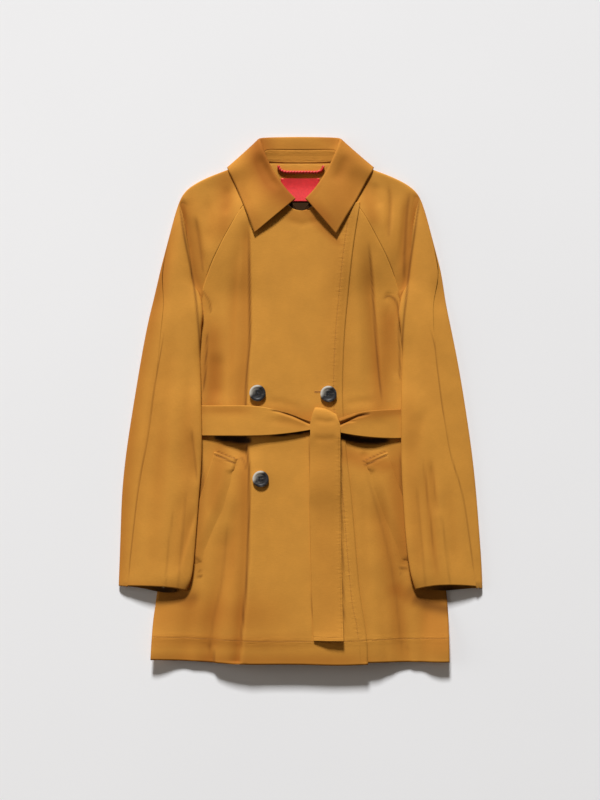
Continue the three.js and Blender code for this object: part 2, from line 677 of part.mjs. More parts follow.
// Stations of the belt in front, from the knot outwards: x, the heights of its upper and lower
// edges, and how far it stands off the coat.
const BELT_RUNS = {
  right: [[17.5, -34, -46.5, 3.5], [-4, -26, -50.5, 4.2], [-30, -17, -54, 4.4], [-60, -9.5, -56.5, 4.6],
    [-90, -7.5, -57, 5.2], [-120, -8, -57, 4], [-142, -8, -57, 2], [-160, -8, -57, 0.6], [-176, -8, -57, 0],
    [-188, -8, -57, 0]],
  left: [[62, -29, -51, 3.5], [78, -23, -54.5, 4.4], [98, -18, -57.5, 5], [120, -15.5, -60, 4],
    [140, -14.5, -61, 2], [158, -14, -61.5, 0.6], [175, -12, -60, 0], [188, -9, -58, 0]],
};
const BELT_PAST_SEAM = 3.6; // how far past the side seams the belt turns round them

function beltSupport(x, high, low) {
  const heights = [0, 0.25, 0.5, 0.75, 1].map((share) => coatTop(x, lerp(low, high, share)));
  return Math.max(...heights);
}

function beltStation([x, high, low, off]) {
  const z = beltSupport(x, high, low) + EASE + off + DOUBLE;
  return [high, (high + low) / 2, low].map((y) => new THREE.Vector3(x, y, z));
}

function beltBand() {
  const turnAround = (sign) => {
    const top = layerTop(sign * 190, BELT_Y) + EASE + DOUBLE;
    const half = top / 2;
    const side = sign < 0 ? SIDES.right : SIDES.left;
    return [0.12, 0.3, 0.5, 0.7, 0.88].map((share) => {
      const turn = Math.PI * share;
      const z = half + half * Math.cos(turn);
      return [-8, BELT_Y, -57].map((y) => {
        const reach = side.seam(y) + BELT_PAST_SEAM - half + half * Math.sin(turn);
        return new THREE.Vector3(sign * reach, y, z);
      });
    });
  };
  const beneath = [-184, -120, -60, 0, 60, 120, 184].map((x) => (
    [-8, BELT_Y, -57].map((y) => new THREE.Vector3(x, y, 0))
  ));
  const rows = [
    ...BELT_RUNS.right.map(beltStation),
    ...turnAround(-1),
    ...beneath,
    ...turnAround(1).reverse(),
    ...[...BELT_RUNS.left].reverse().map(beltStation),
  ];
  return turnedWall(rows, -DOUBLE);
}

// The knot's wrapped layers, one rounded bundle under the tail.
const KNOT = { left: 18.2, right: 61.2, high: -19, low: -54, thickness: 7.2 };

function knotBase() {
  return beltSupport((KNOT.left + KNOT.right) / 2, KNOT.high, KNOT.low) + EASE;
}

function beltKnot() {
  const corner = 7;
  const bevel = 2.2;
  const outline = new THREE.Shape();
  const [l, r, h, b] = [KNOT.left + bevel, KNOT.right - bevel, KNOT.high - bevel, KNOT.low + bevel];
  outline.moveTo(l + corner, b);
  outline.lineTo(r - corner, b);
  outline.quadraticCurveTo(r, b, r, b + corner);
  outline.lineTo(r, h - 2 * corner);
  outline.quadraticCurveTo(r - 1, h - corner, r - 2 * corner, h);
  outline.lineTo(l + corner, h);
  outline.quadraticCurveTo(l, h, l, h - corner);
  outline.lineTo(l, b + corner);
  outline.quadraticCurveTo(l, b, l + corner, b);
  const geometry = new THREE.ExtrudeGeometry(outline, {
    depth: KNOT.thickness - 2 * bevel, steps: 1, bevelEnabled: true, bevelThickness: bevel, bevelSize: bevel,
    bevelSegments: 2, curveSegments: 3,
  });
  return geometry.translate(0, 0, knotBase() + bevel);
}

const BUTTONS = [
  { name: 'button_upper_right', at: [-69, 12] },
  { name: 'button_upper_left', at: [45, 10.5] },
  { name: 'button_lower_right', at: [-64, -126] },
  { name: 'button_lower_left', at: [48, -127] },
];

// The long tail: rows from the fold over the knot down to its free end, with the edges' x and the
// height of its upper face above the coat.
const TAIL_ROWS = [[-12.6, 24, 58, 2.6], [-10.8, 23.5, 58, 4.8], [-11.2, 23, 58, 7.6], [-13.8, 22, 58.5, 10],
  [-21, 19, 61, 11.6], [-36, 15.5, 64, 12], [-54, 15.5, 64, 11.6], [-68, 15.5, 64.3, 9.6],
  [-90, 15.3, 64.2, 8.4], [-108, 15.2, 64.2, 8.8], [-127, 15, 64.2, 9], [-146, 15, 64.3, 8],
  [-168, 15.2, 64.5, 4.6], [-195, 15.6, 64.9, 3.3], [-230, 16.2, 65.6, 3.3], [-265, 17, 66.3, 3.3],
  [-300, 18, 67.2, 3.3], [-330, 19, 67.8, 3.4], [-356, 20, 68.4, 4.4], [-374, 20.8, 69, 6.2],
  [-386, 21.3, 69.4, 8.2]];

function beltTail() {
  const rows = TAIL_ROWS.map(([y, left, right, off]) => {
    const support = Math.max(...[left, (left + right) / 2, right].map((x) => coatTop(x, Math.min(y, -24))));
    const rake = 11 * ease((y + 40) / 20);
    return [0, 1 / 3, 2 / 3, 1].map((share) => {
      const dropped = rake * clamp((share - 0.3) / 0.7, 0, 1) ** 1.4;
      const z = support + off - 0.7 * (2 * share - 1) ** 2;
      return new THREE.Vector3(lerp(left, right, share), y - dropped, z);
    });
  });
  return turnedWall(rows, -DOUBLE);
}

// The other end, short, under the tail.
function beltEnd() {
  const rows = [-57, -70, -84, -98, -109].map((y) => (
    [18, 33, 48, 62].map((x) => new THREE.Vector3(x, y, coatTop(x, y) + EASE + DOUBLE))
  ));
  return flatWall(rows, DOUBLE);
}

// ---- Buttons ----

function solidOf(geometry) {
  const bare = geometry.clone();
  bare.deleteAttribute('normal');
  bare.deleteAttribute('uv');
  const merged = mergeVertices(bare, 1e-4);
  return new wasm.Manifold(new wasm.Mesh({
    numProp: 3,
    vertProperties: new Float32Array(merged.attributes.position.array),
    triVerts: new Uint32Array(merged.index.array),
  }));
}

// A turned horn button: domed underneath, a raised rim, a dished middle and four holes.
function buttonGeometry() {
  const rim = BUTTON_RADIUS;
  const high = BUTTON_HEIGHT;
  const profile = [[0, 0], [9, 0.3], [12, 1.3], [rim, 2.5], [12.6, 3.8], [11.4, high], [9.8, 4],
    [8.8, 3.1], [0, 2.6]].map(([r, z]) => new THREE.Vector2(r, z));
  const disc = new THREE.LatheGeometry(profile, 22).rotateX(Math.PI / 2);
  const holeOut = 2.1;
  let solid = solidOf(disc);
  for (const [sx, sy] of [[1, 1], [1, -1], [-1, 1], [-1, -1]]) {
    const hole = new THREE.CylinderGeometry(0.9, 0.9, 8, 6).rotateX(Math.PI / 2);
    solid = solid.subtract(solidOf(hole.translate(sx * holeOut, sy * holeOut, 2)));
  }
  const made = solid.getMesh();
  const geometry = new THREE.BufferGeometry();
  geometry.setAttribute('position', new THREE.Float32BufferAttribute(made.vertProperties, 3));
  geometry.setIndex([...made.triVerts]);
  geometry.computeVertexNormals();
  return geometry;
}

add('back_panel', backPanel());
add('front_left', flatWall(frontRows.left, CLOTH));
add('front_right', flatWall(frontRows.right, CLOTH));
for (const name of ['right', 'left']) {
  const made = sleeve(SIDES[name]);
  add(`sleeve_${name}_front`, made.front);
  add(`sleeve_${name}_back`, made.back);
}

const neckPieces = collarAndStand();
add('collar', neckPieces.fall);
add('collar_stand', neckPieces.stand);
add('back_facing', backFacing());
add('neck_label', neckLabel(), RED);
add('hanger_loop', hangerLoop(), RED, 0.7);
add('pocket_welt_right', pocketWelt(-1, [96, -96], 0.306, 196, 45));
add('pocket_welt_left', pocketWelt(1, [98, -98], 0.33, 190, 45));
add('belt_band', beltBand());
add('belt_knot', beltKnot());
add('belt_tail', beltTail());
add('belt_end', beltEnd());

const button = buttonGeometry();
for (const { name, at: [x, y] } of BUTTONS) {
  const rest = Math.max(...[-9, 0, 9].flatMap((dx) => [-9, 0, 9].map((dy) => coatTop(x + dx, y + dy))));
  add(name, button, HORN, 0.35).position.set(x, y, rest + 0.7);
}

export default coat;
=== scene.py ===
"""A short double-breasted raglan trench coat in mustard gabardine, laid flat on its back.

Every cloth piece starts from the solid that the frame holds for it: its shared corners are joined,
its triangles are turned back into the rows and columns it was cut on, it is rounded by subdivision,
and then it gets the folds of the laid-out coat. Lengths in the fold tables are in millimetres.
"""

import math

import bmesh
import bpy
import numpy as np
from bpy.props import FloatProperty, FloatVectorProperty, PointerProperty
from mathutils import Matrix, Vector
from mathutils.bvhtree import BVHTree


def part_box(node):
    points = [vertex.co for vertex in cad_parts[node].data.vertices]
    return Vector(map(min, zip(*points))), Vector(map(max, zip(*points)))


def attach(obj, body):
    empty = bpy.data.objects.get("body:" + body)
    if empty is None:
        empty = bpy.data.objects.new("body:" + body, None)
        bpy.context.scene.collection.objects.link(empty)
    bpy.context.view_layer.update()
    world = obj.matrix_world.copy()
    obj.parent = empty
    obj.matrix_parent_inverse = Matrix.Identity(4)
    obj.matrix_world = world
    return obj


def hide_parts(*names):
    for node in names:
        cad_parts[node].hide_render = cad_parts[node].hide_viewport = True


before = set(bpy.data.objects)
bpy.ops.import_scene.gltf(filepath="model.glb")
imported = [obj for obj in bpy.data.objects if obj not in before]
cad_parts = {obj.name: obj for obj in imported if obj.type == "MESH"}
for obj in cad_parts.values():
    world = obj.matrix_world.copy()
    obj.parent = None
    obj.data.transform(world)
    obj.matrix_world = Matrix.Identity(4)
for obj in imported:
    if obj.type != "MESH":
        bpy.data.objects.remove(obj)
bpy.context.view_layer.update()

bl_info = {
    "name": "Trench coat",
    "version": (1, 0, 0),
    "blender": (4, 5, 0),
    "location": "3D View > Sidebar > Coat",
    "description": "Builds the looks of a trench coat laid flat, around its packed frame",
    "category": "Object",
}

MM = 0.001
BODY = "root"

# ---------------------------------------------------------------------------------------------
# Sizes and colours a user would change


class CoatSizes(bpy.types.PropertyGroup):
    """Sizes of the sewing, in metres."""

    stitch_length: FloatProperty(
        name="Stitch length", description="Length of one visible stitch", default=2.5 * MM, unit="LENGTH"
    )
    stitch_pitch: FloatProperty(
        name="Stitch pitch", description="Distance from one stitch to the next", default=3.3 * MM, unit="LENGTH"
    )
    thread: FloatProperty(
        name="Thread", description="Thickness of the sewing thread", default=0.5 * MM, unit="LENGTH"
    )
    edge_margin: FloatProperty(
        name="Edge margin", description="From the front edge to its row of stitches", default=14.5 * MM,
        unit="LENGTH",
    )
    hem_depth: FloatProperty(
        name="Hem depth", description="Depth of the turned hem", default=40 * MM, unit="LENGTH"
    )


class CoatColours(bpy.types.PropertyGroup):
    """Colours of the cloth and the trims, in linear light."""

    cloth: FloatVectorProperty(
        name="Gabardine", description="The coat's cloth", subtype="COLOR", size=3, default=(0.595, 0.262, 0.036)
    )
    thread: FloatVectorProperty(
        name="Thread", description="Sewing thread", subtype="COLOR", size=3, default=(0.47, 0.2, 0.03)
    )
    label: FloatVectorProperty(
        name="Label", description="Woven neck label", subtype="COLOR", size=3, default=(0.93, 0.04, 0.045)
    )
    loop: FloatVectorProperty(
        name="Loop", description="Hanger loop's cord", subtype="COLOR", size=3, default=(0.6, 0.012, 0.006)
    )
    horn: FloatVectorProperty(
        name="Horn", description="Dark part of the buttons", subtype="COLOR", size=3,
        default=(0.015, 0.014, 0.015),
    )
    # Pale streaks of the horn, and the painted highlight on the rim of the buttons.
    horn_pale_and_highlight: FloatVectorProperty(
        name="Pale horn", description="Pale streaks and rim of the buttons", subtype="COLOR", size=3,
        default=(0.55, 0.5, 0.42),
    )
    floor: FloatVectorProperty(
        name="Floor", description="The surface the coat lies on", subtype="COLOR", size=3,
        default=(0.86, 0.86, 0.86),
    )


def sizes():
    return bpy.context.scene.coat_sizes


def colours():
    return bpy.context.scene.coat_colours


# ---------------------------------------------------------------------------------------------
# Folds: each is a line of [x, y] points with its width and depth, in millimetres


def smooth(t):
    c = np.clip(t, 0, 1)
    return c * c * (3 - 2 * c)


def nearest(line, x, y):
    """Distance from points to a line, the side they are on (+1 left of its run), the share of its
    length, and the way its left side faces there."""
    points = np.array(line, float)
    steps = points[1:] - points[:-1]
    lengths = np.hypot(steps[:, 0], steps[:, 1])
    starts = np.cumsum(lengths) - lengths
    best = np.full(x.shape, np.inf)
    side = np.zeros(x.shape)
    share = np.zeros(x.shape)
    aside = np.zeros((*x.shape, 2))
    for (px, py), (sx, sy), length, start in zip(points, steps, lengths, starts):
        t = np.clip(((x - px) * sx + (y - py) * sy) / length ** 2, 0, 1)
        dx, dy = x - px - t * sx, y - py - t * sy
        d = np.hypot(dx, dy)
        near = d < best
        best = np.where(near, d, best)
        side = np.where(near, np.where(sx * dy - sy * dx >= 0, 1.0, -1.0), side)
        share = np.where(near, (start + t * length) / lengths.sum(), share)
        aside[near] = (-sy / length, sx / length)
    return best, side, share, aside


def beside(line, x, y):
    """Distance, side and share of the nearest place on a line."""
    return nearest(line, x, y)[:3]


def ends(share, fade):
    """1 along a line and 0 at its two ends, over the shares of its length in "fade"."""
    return smooth(share / max(fade[0], 1e-6)) * smooth((1 - share) / max(fade[1], 1e-6))


def trough(line, width, depth, right=None, fade=(0.3, 0.3)):
    """A trough (or a ridge, with a negative depth). "right" is its width on the right of the line's run."""

    def height(x, y):
        d, side, share = beside(line, x, y)
        reach = np.where(side > 0, width, right or width)
        return -depth * ends(share, fade) * np.exp(-((d / reach) ** 2))

    return height


def step(line, width, rise, reach, fade=(0.12, 0.12)):
    """A step up on the left of the line's run, which dies away over "reach" on both sides."""

    def height(x, y):
        d, side, share = beside(line, x, y)
        return rise * ends(share, fade) * np.tanh(side * d / width) * np.exp(-((d / reach) ** 2))

    return height


def total(folds, x, y):
    """All the folds' heights together."""
    return sum((fold(x, y) for fold in folds), np.zeros(x.shape))


def ripple(x, y, wave, seed):
    """Slow, even unevenness of handled cloth, from a few crossing waves."""
    rng = np.random.default_rng(seed)
    out = np.zeros(x.shape)
    for _ in range(7):
        turn = rng.uniform(0, math.pi)
        length = wave * rng.uniform(0.6, 1.7)
        phase = rng.uniform(0, 2 * math.pi)
        out += np.sin(2 * math.pi * (x * math.cos(turn) + y * math.sin(turn)) / length + phase)
    return out / 7


# The edge of the covered front, which shows through the upper one, from the neck to the hem
LOWER_EDGE = [[-83, 300], [-83, 268], [-82, 163], [-82, 98], [-86, 49], [-88.5, -4], [-88, -64], [-83, -113],
              [-83, -161], [-85, -258], [-90, -323], [-95, -375], [-99, -424]]

FRONT_FOLDS = [
    trough(LOWER_EDGE, 2.2, 4.2, 13, fade=(0.06, 0.0)),
    step(LOWER_EDGE, 2.0, 0.9, 26, fade=(0.06, 0.0)),
    # soft trough beside it, at the chest
    trough([[-95, 290], [-99, 262], [-103, 211], [-110, 130], [-114, 40], [-115, -4]], 4.5, 1.8, 11),
    # dart-like creases beside the right sleeve, above the belt
    trough([[-150, 112], [-152, 80], [-154, 45], [-157, 6]], 2.2, 2.0, 6),
    trough([[-134, 82], [-132, 40], [-133, -6]], 10, 2.6, 14),
    trough([[-162, 178], [-153, 170], [-147, 158], [-145, 140]], 3.5, 2.2, 8),
    # strong crease down the left side, from the raglan seam to the belt
    trough([[110, 262], [114, 211], [121, 114], [126, 49], [133, -9]], 3.0, 4.6, 13),
    trough([[86, 300], [91, 180], [98, 90], [101, 10]], 8, -1.2, 9),
    # underarm folds of the left side
    trough([[133, 163], [142, 169], [152, 164], [158, 150], [161, 120]], 4.5, 3.0, 7),
    trough([[141, 160], [149, 130], [155, 80], [158, 30]], 5, 2.6, 12),
    # from the hip to the hem
    trough([[-117, -194], [-127, -291], [-141, -356], [-149, -424]], 12, 3.6, 17, fade=(0.2, 0.0)),
    trough([[-104, -150], [-109, -230], [-112, -300]], 6, 1.5, 9),
    trough([[-166, -300], [-178, -350], [-190, -424]], 14, 1.4, fade=(0.2, 0.0)),
    trough([[118, -140], [140, -240], [158, -330], [168, -424]], 13, 3.0, 20, fade=(0.2, 0.0)),
    trough([[100, -120], [104, -220], [112, -330]], 7, 0.9, 9),
    trough([[126, -300], [134, -360], [138, -424]], 6, 1.0, 9, fade=(0.3, 0.0)),
    trough([[205, -322], [200, -370], [196, -424]], 10, 1.6, fade=(0.2, 0.0)),
    # small kinks where the hem turns down
    trough([[-148, -390], [-141, -425]], 2.6, 1.7, fade=(0.3, 0.0)),
    trough([[-141, -392], [-134, -425]], 2.4, -1.3, fade=(0.3, 0.0)),
    trough([[172, -394], [176, -425]], 3.0, 1.1, fade=(0.3, 0.0)),
    # below the neck
    trough([[-30, 292], [2, 283], [40, 292]], 6, 0.7),
    # across the waist, above and under the belt
    trough([[-60, 0], [-30, -3], [6, -14]], 6, 0.7),
    trough([[66, -8], [95, -2], [125, -1]], 7, 0.9),
    trough([[-128, -62], [-108, -66], [-88, -66]], 9, 2.2),
    trough([[72, -62], [104, -66], [138, -66]], 10, 2.4),
    # short creases at the lower ends of the pockets
    trough([[-157, -270], [-166, -258], [-176, -252]], 2.4, 0.9),
    trough([[-154, -277], [-163, -272], [-173, -270]], 2.2, 0.8),
    trough([[-154, -283], [-163, -286], [-172, -284]], 2.2, 0.8),
    trough([[159, -268], [166, -262], [174, -258]], 2.4, 0.9),
    trough([[158, -276], [166, -274], [174, -275]], 2.2, 0.8),
    trough([[98, -84], [104, -89], [110, -93]], 5, 1.2),
]

# Raglan seams, from the neck to the underarm, and the gap under each arm
RAGLAN_RIGHT = [[-97, 309], [-120, 269], [-140, 230], [-152, 203], [-157, 181]]
RAGLAN_LEFT = [[98, 316], [119, 281], [139, 242], [155, 203], [164, 171]]
UNDERARM_RIGHT = [[-156, 205], [-161, 180], [-164, 158], [-163, 138], [-162, 112]]
UNDERARM_LEFT = [[156, 205], [163, 178], [165, 158], [165, 138], [163, 112]]
SEAM_PULL = 0.4
UNDERARM_PULL = 6.5
OVERARM_RIGHT = [[-218, 120], [-231, 46], [-236, 17], [-247, -64], [-260, -129], [-268, -194], [-275, -258],
                 [-278, -300]]
OVERARM_LEFT = [[204, 130], [216, 90], [221, 49], [228, -7], [233, -35], [243, -90], [263, -160], [282, -290]]
HEAD_LAP = 6.5

# Inner seams and lower ends of the pocket welts
WELT_SEAM_RIGHT = [[-101, -112], [-106, -137], [-127, -194], [-147, -242], [-155, -283]]
WELT_SEAM_LEFT = [[102, -112], [109, -137], [130, -194], [150, -242], [161, -277]]
# Where a welt goes under the front, at the inner end of its mouth
WELT_CORNER_RIGHT = [[-94, -90], [-102, -118]]
WELT_CORNER_LEFT = [[96, -92], [104, -118]]
WELT_FOOT_RIGHT = [[-198, -262], [-176, -270], [-155, -283]]
WELT_FOOT_LEFT = [[202, -256], [180, -266], [160, -279]]

# Where each sleeve head turns over, from the shoulder down past the underarm
RIGHT_HEAD_FOLD = [[-197, 328], [-193, 300], [-187, 262], [-179, 222], [-170, 172], [-165, 124], [-161, 66]]
LEFT_HEAD_FOLD = [[194, 342], [190, 312], [184, 270], [177, 218], [171, 169], [166, 124], [163, 66]]

RIGHT_SLEEVE_FOLDS = [
    # the deep fold where the sleeve head turns over the arm
    trough(RIGHT_HEAD_FOLD, 9, 5.2, 2.2, fade=(0.06, 0.2)),
    step(RIGHT_HEAD_FOLD, 2.2, -2.2, 20, fade=(0.06, 0.2)),
    trough([[-170, 300], [-164, 262], [-160, 230], [-157, 203]], 4.5, 2.6, 8),
    trough([[-152, 340], [-146, 290], [-150, 240]], 8, 2.0, 14),
    trough([[-118, 350], [-116, 320], [-122, 296]], 8, 1.5),
    # below the elbow
    trough([[-176, -40], [-172, -85], [-165, -138]], 3.4, 2.4, 9),
    trough([[-166, -165], [-187, -234], [-203, -290]], 4.5, 1.8, 12),
    trough([[-184, -130], [-206, -230], [-214, -290]], 8, 1.4, 12),
    trough([[-205, 150], [-215, 40], [-228, -90], [-240, -220]], 14, 2.0, 24),
    trough([[-178, 60], [-186, -40], [-190, -150]], 10, 1.6, 14),
    trough([[-212, 300], [-222, 220], [-232, 120]], 12, 1.5, 16),
]

LEFT_SLEEVE_FOLDS = [
    trough(LEFT_HEAD_FOLD, 2.2, 5.2, 7, fade=(0.06, 0.2)),
    step(LEFT_HEAD_FOLD, 2.2, 2.2, 20, fade=(0.06, 0.2)),
    trough([[177, 345], [172, 306], [169, 250], [167, 190]], 4.4, 3.2, 8),
    trough([[140, 360], [147, 330], [145, 300], [141, 255]], 3.2, 1.7, 7),
    trough([[121, 354], [123, 330], [128, 308]], 7, 1.4),
    # creases at and under the elbow
    trough([[207, -6], [195, -30], [190, -56], [193, -92]], 8, 1.3, 12, fade=(0.4, 0.4)),
    trough([[194, -80], [205, -161], [213, -226], [222, -294]], 3.2, 2.6, 9),
    trough([[210, -90], [217, -150], [222, -190]], 3.2, 2.2, 8),
    trough([[186, -120], [192, -200], [198, -285]], 6, 1.3, 9),
    trough([[202, 150], [212, 60], [222, -60]], 14, 1.0, 22),
    trough([[236, -120], [246, -200], [252, -290]], 9, 1.3, 12),
    trough([[212, 300], [222, 220], [232, 120]], 10, 1.4, 14),
]

COLLAR_FOLDS = [
    # the leaves dent where they roll over the stand
    trough([[-72, 404], [-62, 380], [-48, 354], [-32, 336]], 7, 3.4, 12, fade=(0.3, 0.3)),
    trough([[76, 400], [66, 372], [52, 348]], 10, 1.6, 8, fade=(0.3, 0.3)),
    trough([[-98, 376], [-92, 340], [-84, 306]], 12, 1.2),
    trough([[96, 376], [90, 340], [80, 306]], 12, 1.0),
]

BELT_FOLDS = [
    # the upper edge rolls over towards the knot
    trough([[-52, -14.5], [-34, -17.6], [-12, -25], [15, -37]], 1.7, 2.4, 2.4, fade=(0.35, 0.0)),
    trough([[-44, -10], [-24, -15], [-4, -22], [16, -31]], 2.6, -1.3, fade=(0.35, 0.0)),
    trough([[-60, -30], [-20, -36], [16, -42]], 7, 0.8, fade=(0.3, 0.0)),
    trough([[62, -40], [76, -32.5], [92, -25.5], [116, -20.5]], 2.0, 2.3, 1.7, fade=(0.0, 0.35)),
    trough([[62, -33], [78, -27.5], [98, -21.5]], 2.2, -1.0, fade=(0.0, 0.4)),
    trough([[62, -36.6], [76, -33.8], [92, -33]], 1.5, 1.4, fade=(0.0, 0.4)),
    trough([[-158, -22], [-110, -18], [-70, -17]], 9, 0.5),
    trough([[110, -36], [150, -38], [170, -38]], 9, 0.5),
]

BELT_CREASE_RIGHT = [[-50, -15], [-32, -18.2], [-10, -25.6], [17, -38]]
BELT_CREASE_LEFT = [[60, -41], [76, -33], [92, -26], [114, -21]]

TAIL_FOLDS = [
    trough([[18, -30], [40, -34], [62, -32]], 5, 0.8),
    trough([[16, -60], [40, -62], [64, -60]], 6, 0.7),
    trough([[30, -90], [33, -180], [34, -300]], 9, 0.35),
]

# ---------------------------------------------------------------------------------------------
# From a frame solid to smooth cloth


def joined_mesh(node):
    """The node's triangles with their shared corners joined."""
    bm = bmesh.new()
    bm.from_mesh(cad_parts[node].data)
    bmesh.ops.remove_doubles(bm, verts=bm.verts, dist=0.02 * MM)
    return bm


def other_corner(face, edge):
    return next(v for v in face.verts if v not in edge.verts)


def rim_faces(bm, wall):
    """The triangles across the wall's thickness: each has one edge as long as the wall is thick."""
    links = {e for e in bm.edges if abs(e.calc_length() - wall) < 0.01 * MM}

    def beside_a_link(face, link):
        others = [f for e in face.edges if e is not link for f in e.link_faces if f is not face]
        return any(links & set(f.edges) - {link} for f in others)

    true_links = {e for e in links if all(beside_a_link(f, e) for f in e.link_faces)}
    return {f for e in true_links for f in e.link_faces}, true_links


def diagonals_of(faces):
    """The diagonals of a sheet of triangles that was cut in rows and columns.

    One triangle with a right angle tells its diagonal. Across any edge, opposite sides of the two
    triangles are of the same kind, which carries the answer over the whole sheet.
    """

    def squareness(face):
        long_edge = max(face.edges, key=lambda e: e.calc_length())
        corner = other_corner(face, long_edge)
        a, b = ((v.co - corner.co).normalized() for v in long_edge.verts)
        return abs(a.dot(b))

    seed = min(faces, key=squareness)
    ranked = sorted(seed.edges, key=lambda e: -e.calc_length())
    kind = {edge: i for i, edge in enumerate(ranked)}
    queue, seen = [seed], {seed}
    while queue:
        face = queue.pop()
        for edge in face.edges:
            for mate in edge.link_faces:
                if mate in seen or mate not in faces:
                    continue
                u, v = edge.verts
                w, x = other_corner(face, edge), other_corner(mate, edge)
                sides = {frozenset(e.verts): e for e in (*face.edges, *mate.edges)}
                kind[sides[frozenset((u, x))]] = kind[sides[frozenset((v, w))]]
                kind[sides[frozenset((v, x))]] = kind[sides[frozenset((u, w))]]
                seen.add(mate)
                queue.append(mate)
    return {edge for edge, k in kind.items() if k == 0}


def squared_mesh(node, wall):
    """The node as quads, with its rims and sharp corners creased."""
    bm = joined_mesh(node)
    crease = bm.edges.layers.float.new("crease_edge")
    rim, links = rim_faces(bm, wall)
    rest = set(bm.faces) - rim
    diagonals = {e for f in rim for e in f.edges if e not in links and set(e.link_faces) <= rim}
    while rest:
        sheet, queue = set(), [next(iter(rest))]
        while queue:
            face = queue.pop()
            if face in sheet or face in rim:
                continue
            sheet.add(face)
            queue.extend(f for e in face.edges for f in e.link_faces)
        diagonals |= diagonals_of(sheet)
        rest -= sheet
    for edge in bm.edges:
        faces = edge.link_faces
        borders_rim = len([f for f in faces if f in rim]) == 1
        corner = edge in links and faces[0].normal.angle(faces[1].normal, 0) > math.radians(35)
        edge[crease] = 1.0 if borders_rim or corner else 0.0
    bmesh.ops.dissolve_edges(bm, edges=list(diagonals), use_verts=False)
    return bm


def as_object(bm, name):
    mesh = bpy.data.meshes.new(name)
    bm.to_mesh(mesh)
    bm.free()
    obj = bpy.data.objects.new(name, mesh)
    bpy.context.scene.collection.objects.link(obj)
    return obj


def only(obj):
    bpy.ops.object.select_all(action="DESELECT")
    obj.select_set(True)
    bpy.context.view_layer.objects.active = obj


def rounded(obj, levels):
    only(obj)
    modifier = obj.modifiers.new("round", "SUBSURF")
    modifier.levels = modifier.render_levels = levels
    bpy.ops.object.modifier_apply(modifier=modifier.name)
    bpy.ops.object.shade_smooth_by_angle(angle=math.radians(50))
    return obj


def points_of(obj):
    co = np.empty(len(obj.data.vertices) * 3, np.float64)
    obj.data.vertices.foreach_get("co", co)
    return co.reshape(-1, 3) / MM


def set_points(obj, co):
    obj.data.vertices.foreach_set("co", (co * MM).ravel())
    obj.data.update()


def set_attribute(obj, name, values):
    attribute = obj.data.attributes.new(name, "FLOAT", "POINT")
    attribute.data.foreach_set("value", np.asarray(values, np.float32))


HOLLOW_DEPTH = 5.0  # a fold this deep is fully in its own shade, which is painted into the cloth's colour
COAT_MIDDLE = -4
CORNER_FROM = 176  # the hem's corners curl up past this half width,
CORNER_WIDE = 62  # over this width,
CORNER_TOP = -318  # from here down,
CORNER_DEEP = 96  # over this length,
CORNER_LIFT = 15  # by this much
HEM_DROP = 2.2  # the band between the corners hangs this far over its stitches,
HEM_DROP_FROM, HEM_DROP_REACH = -378, 52
HEM_LIES_AT, HEM_LIES_REACH = 6, 8  # but not where it lies on the table
ROOM_ABOVE = 4.0  # a front lies this close to the back where there is no room for a trough


def settle(obj, folds, wave=0.35, seed=1, upper_only=None):
    """Moves a piece's cloth up and down into its folds, both faces alike."""
    co = points_of(obj)
    x, y, z = co.T
    deep = total(folds, x, y)
    # Painted shade: the deeper the fold, the more of the shade colour it takes.
    set_attribute(obj, "hollow", np.clip(-deep / HOLLOW_DEPTH, 0, 1))
    change = deep + wave * ripple(x, y, 70, seed) + 0.2 * wave * ripple(x, y, 22, seed + 1)
    if upper_only is not None:
        low, high = upper_only
        change *= smooth((z - low) / (high - low))
    else:
        room = np.clip(z - ROOM_ABOVE, 0, None)
        change = np.clip(change, -0.75 * room, 0.25 + 0.4 * room)
    co[:, 2] += change
    set_points(obj, co)


def draw_over(obj, line, pull, reach, fade=(0.0, 0.0), above=None):
    """Draws the cloth beside a line towards the line's left (or right, with a negative pull).

    With "above", a pair of heights, only what lies above them moves, so that it laps over the rest.
    """
    co = points_of(obj)
    d, _, share, aside = nearest(line, co[:, 0], co[:, 1])
    amount = pull * ends(share, fade) * (1 - smooth(d / reach))
    if above is not None:
        amount *= smooth((co[:, 2] - above[0]) / (above[1] - above[0]))
    co[:, :2] += aside * amount[:, None]
    set_points(obj, co)


def darkest(obj, lines, fade):
    """How strongly each point is marked by the strongest of the lines beside it."""
    x, y, _ = points_of(obj).T
    dark = np.zeros(x.shape)
    for line, width, strength in lines:
        d, _, share = beside(smooth_line(line), x, y)
        dark = np.maximum(dark, strength * ends(share, fade) * np.exp(-((d / width) ** 2)))
    return dark


def paint_line_shade(obj, creases):
    """Painted shade along sharp creases and the foot of each overlap, where the cloth stays in its own shade.
    """
    set_attribute(obj, "crease", darkest(obj, creases, (0.12, 0.12)))


def paint_soft_shade(obj, shades):
    """Painted shade over wide, soft hollows, where the cloth mostly lights itself and turns deeper in colour.
    """
    set_attribute(obj, "shade", darkest(obj, shades, (0.25, 0.25)))


def paint_unlit_shade(obj, hollows):
    """Painted shade, near black, in hollows with sharp rims, where no light gets in."""
    set_attribute(obj, "inside", smooth((darkest(obj, hollows, (0.25, 0.25)) - 0.3) / 0.4))


def sink(obj, line, depth, reach, fade=(0.0, 0.0)):
    """Presses the cloth beside a line down into what lies under it."""
    co = points_of(obj)
    d, _, share = beside(line, co[:, 0], co[:, 1])
    co[:, 2] -= depth * ends(share, fade) * (1 - smooth(d / reach))
    set_points(obj, co)


def lift_hem_corners(obj):
    """The two corners of the hem curl up off the table, and the band between them hangs over a little."""
    co = points_of(obj)
    x, y, z = co.T
    sideways = smooth((np.abs(x - COAT_MIDDLE) - CORNER_FROM) / CORNER_WIDE)
    co[:, 2] += CORNER_LIFT * sideways * smooth((CORNER_TOP - y) / CORNER_DEEP)
    hang = smooth((HEM_DROP_FROM - y) / HEM_DROP_REACH) * smooth((z - HEM_LIES_AT) / HEM_LIES_REACH)
    co[:, 2] -= HEM_DROP * hang
    set_points(obj, co)


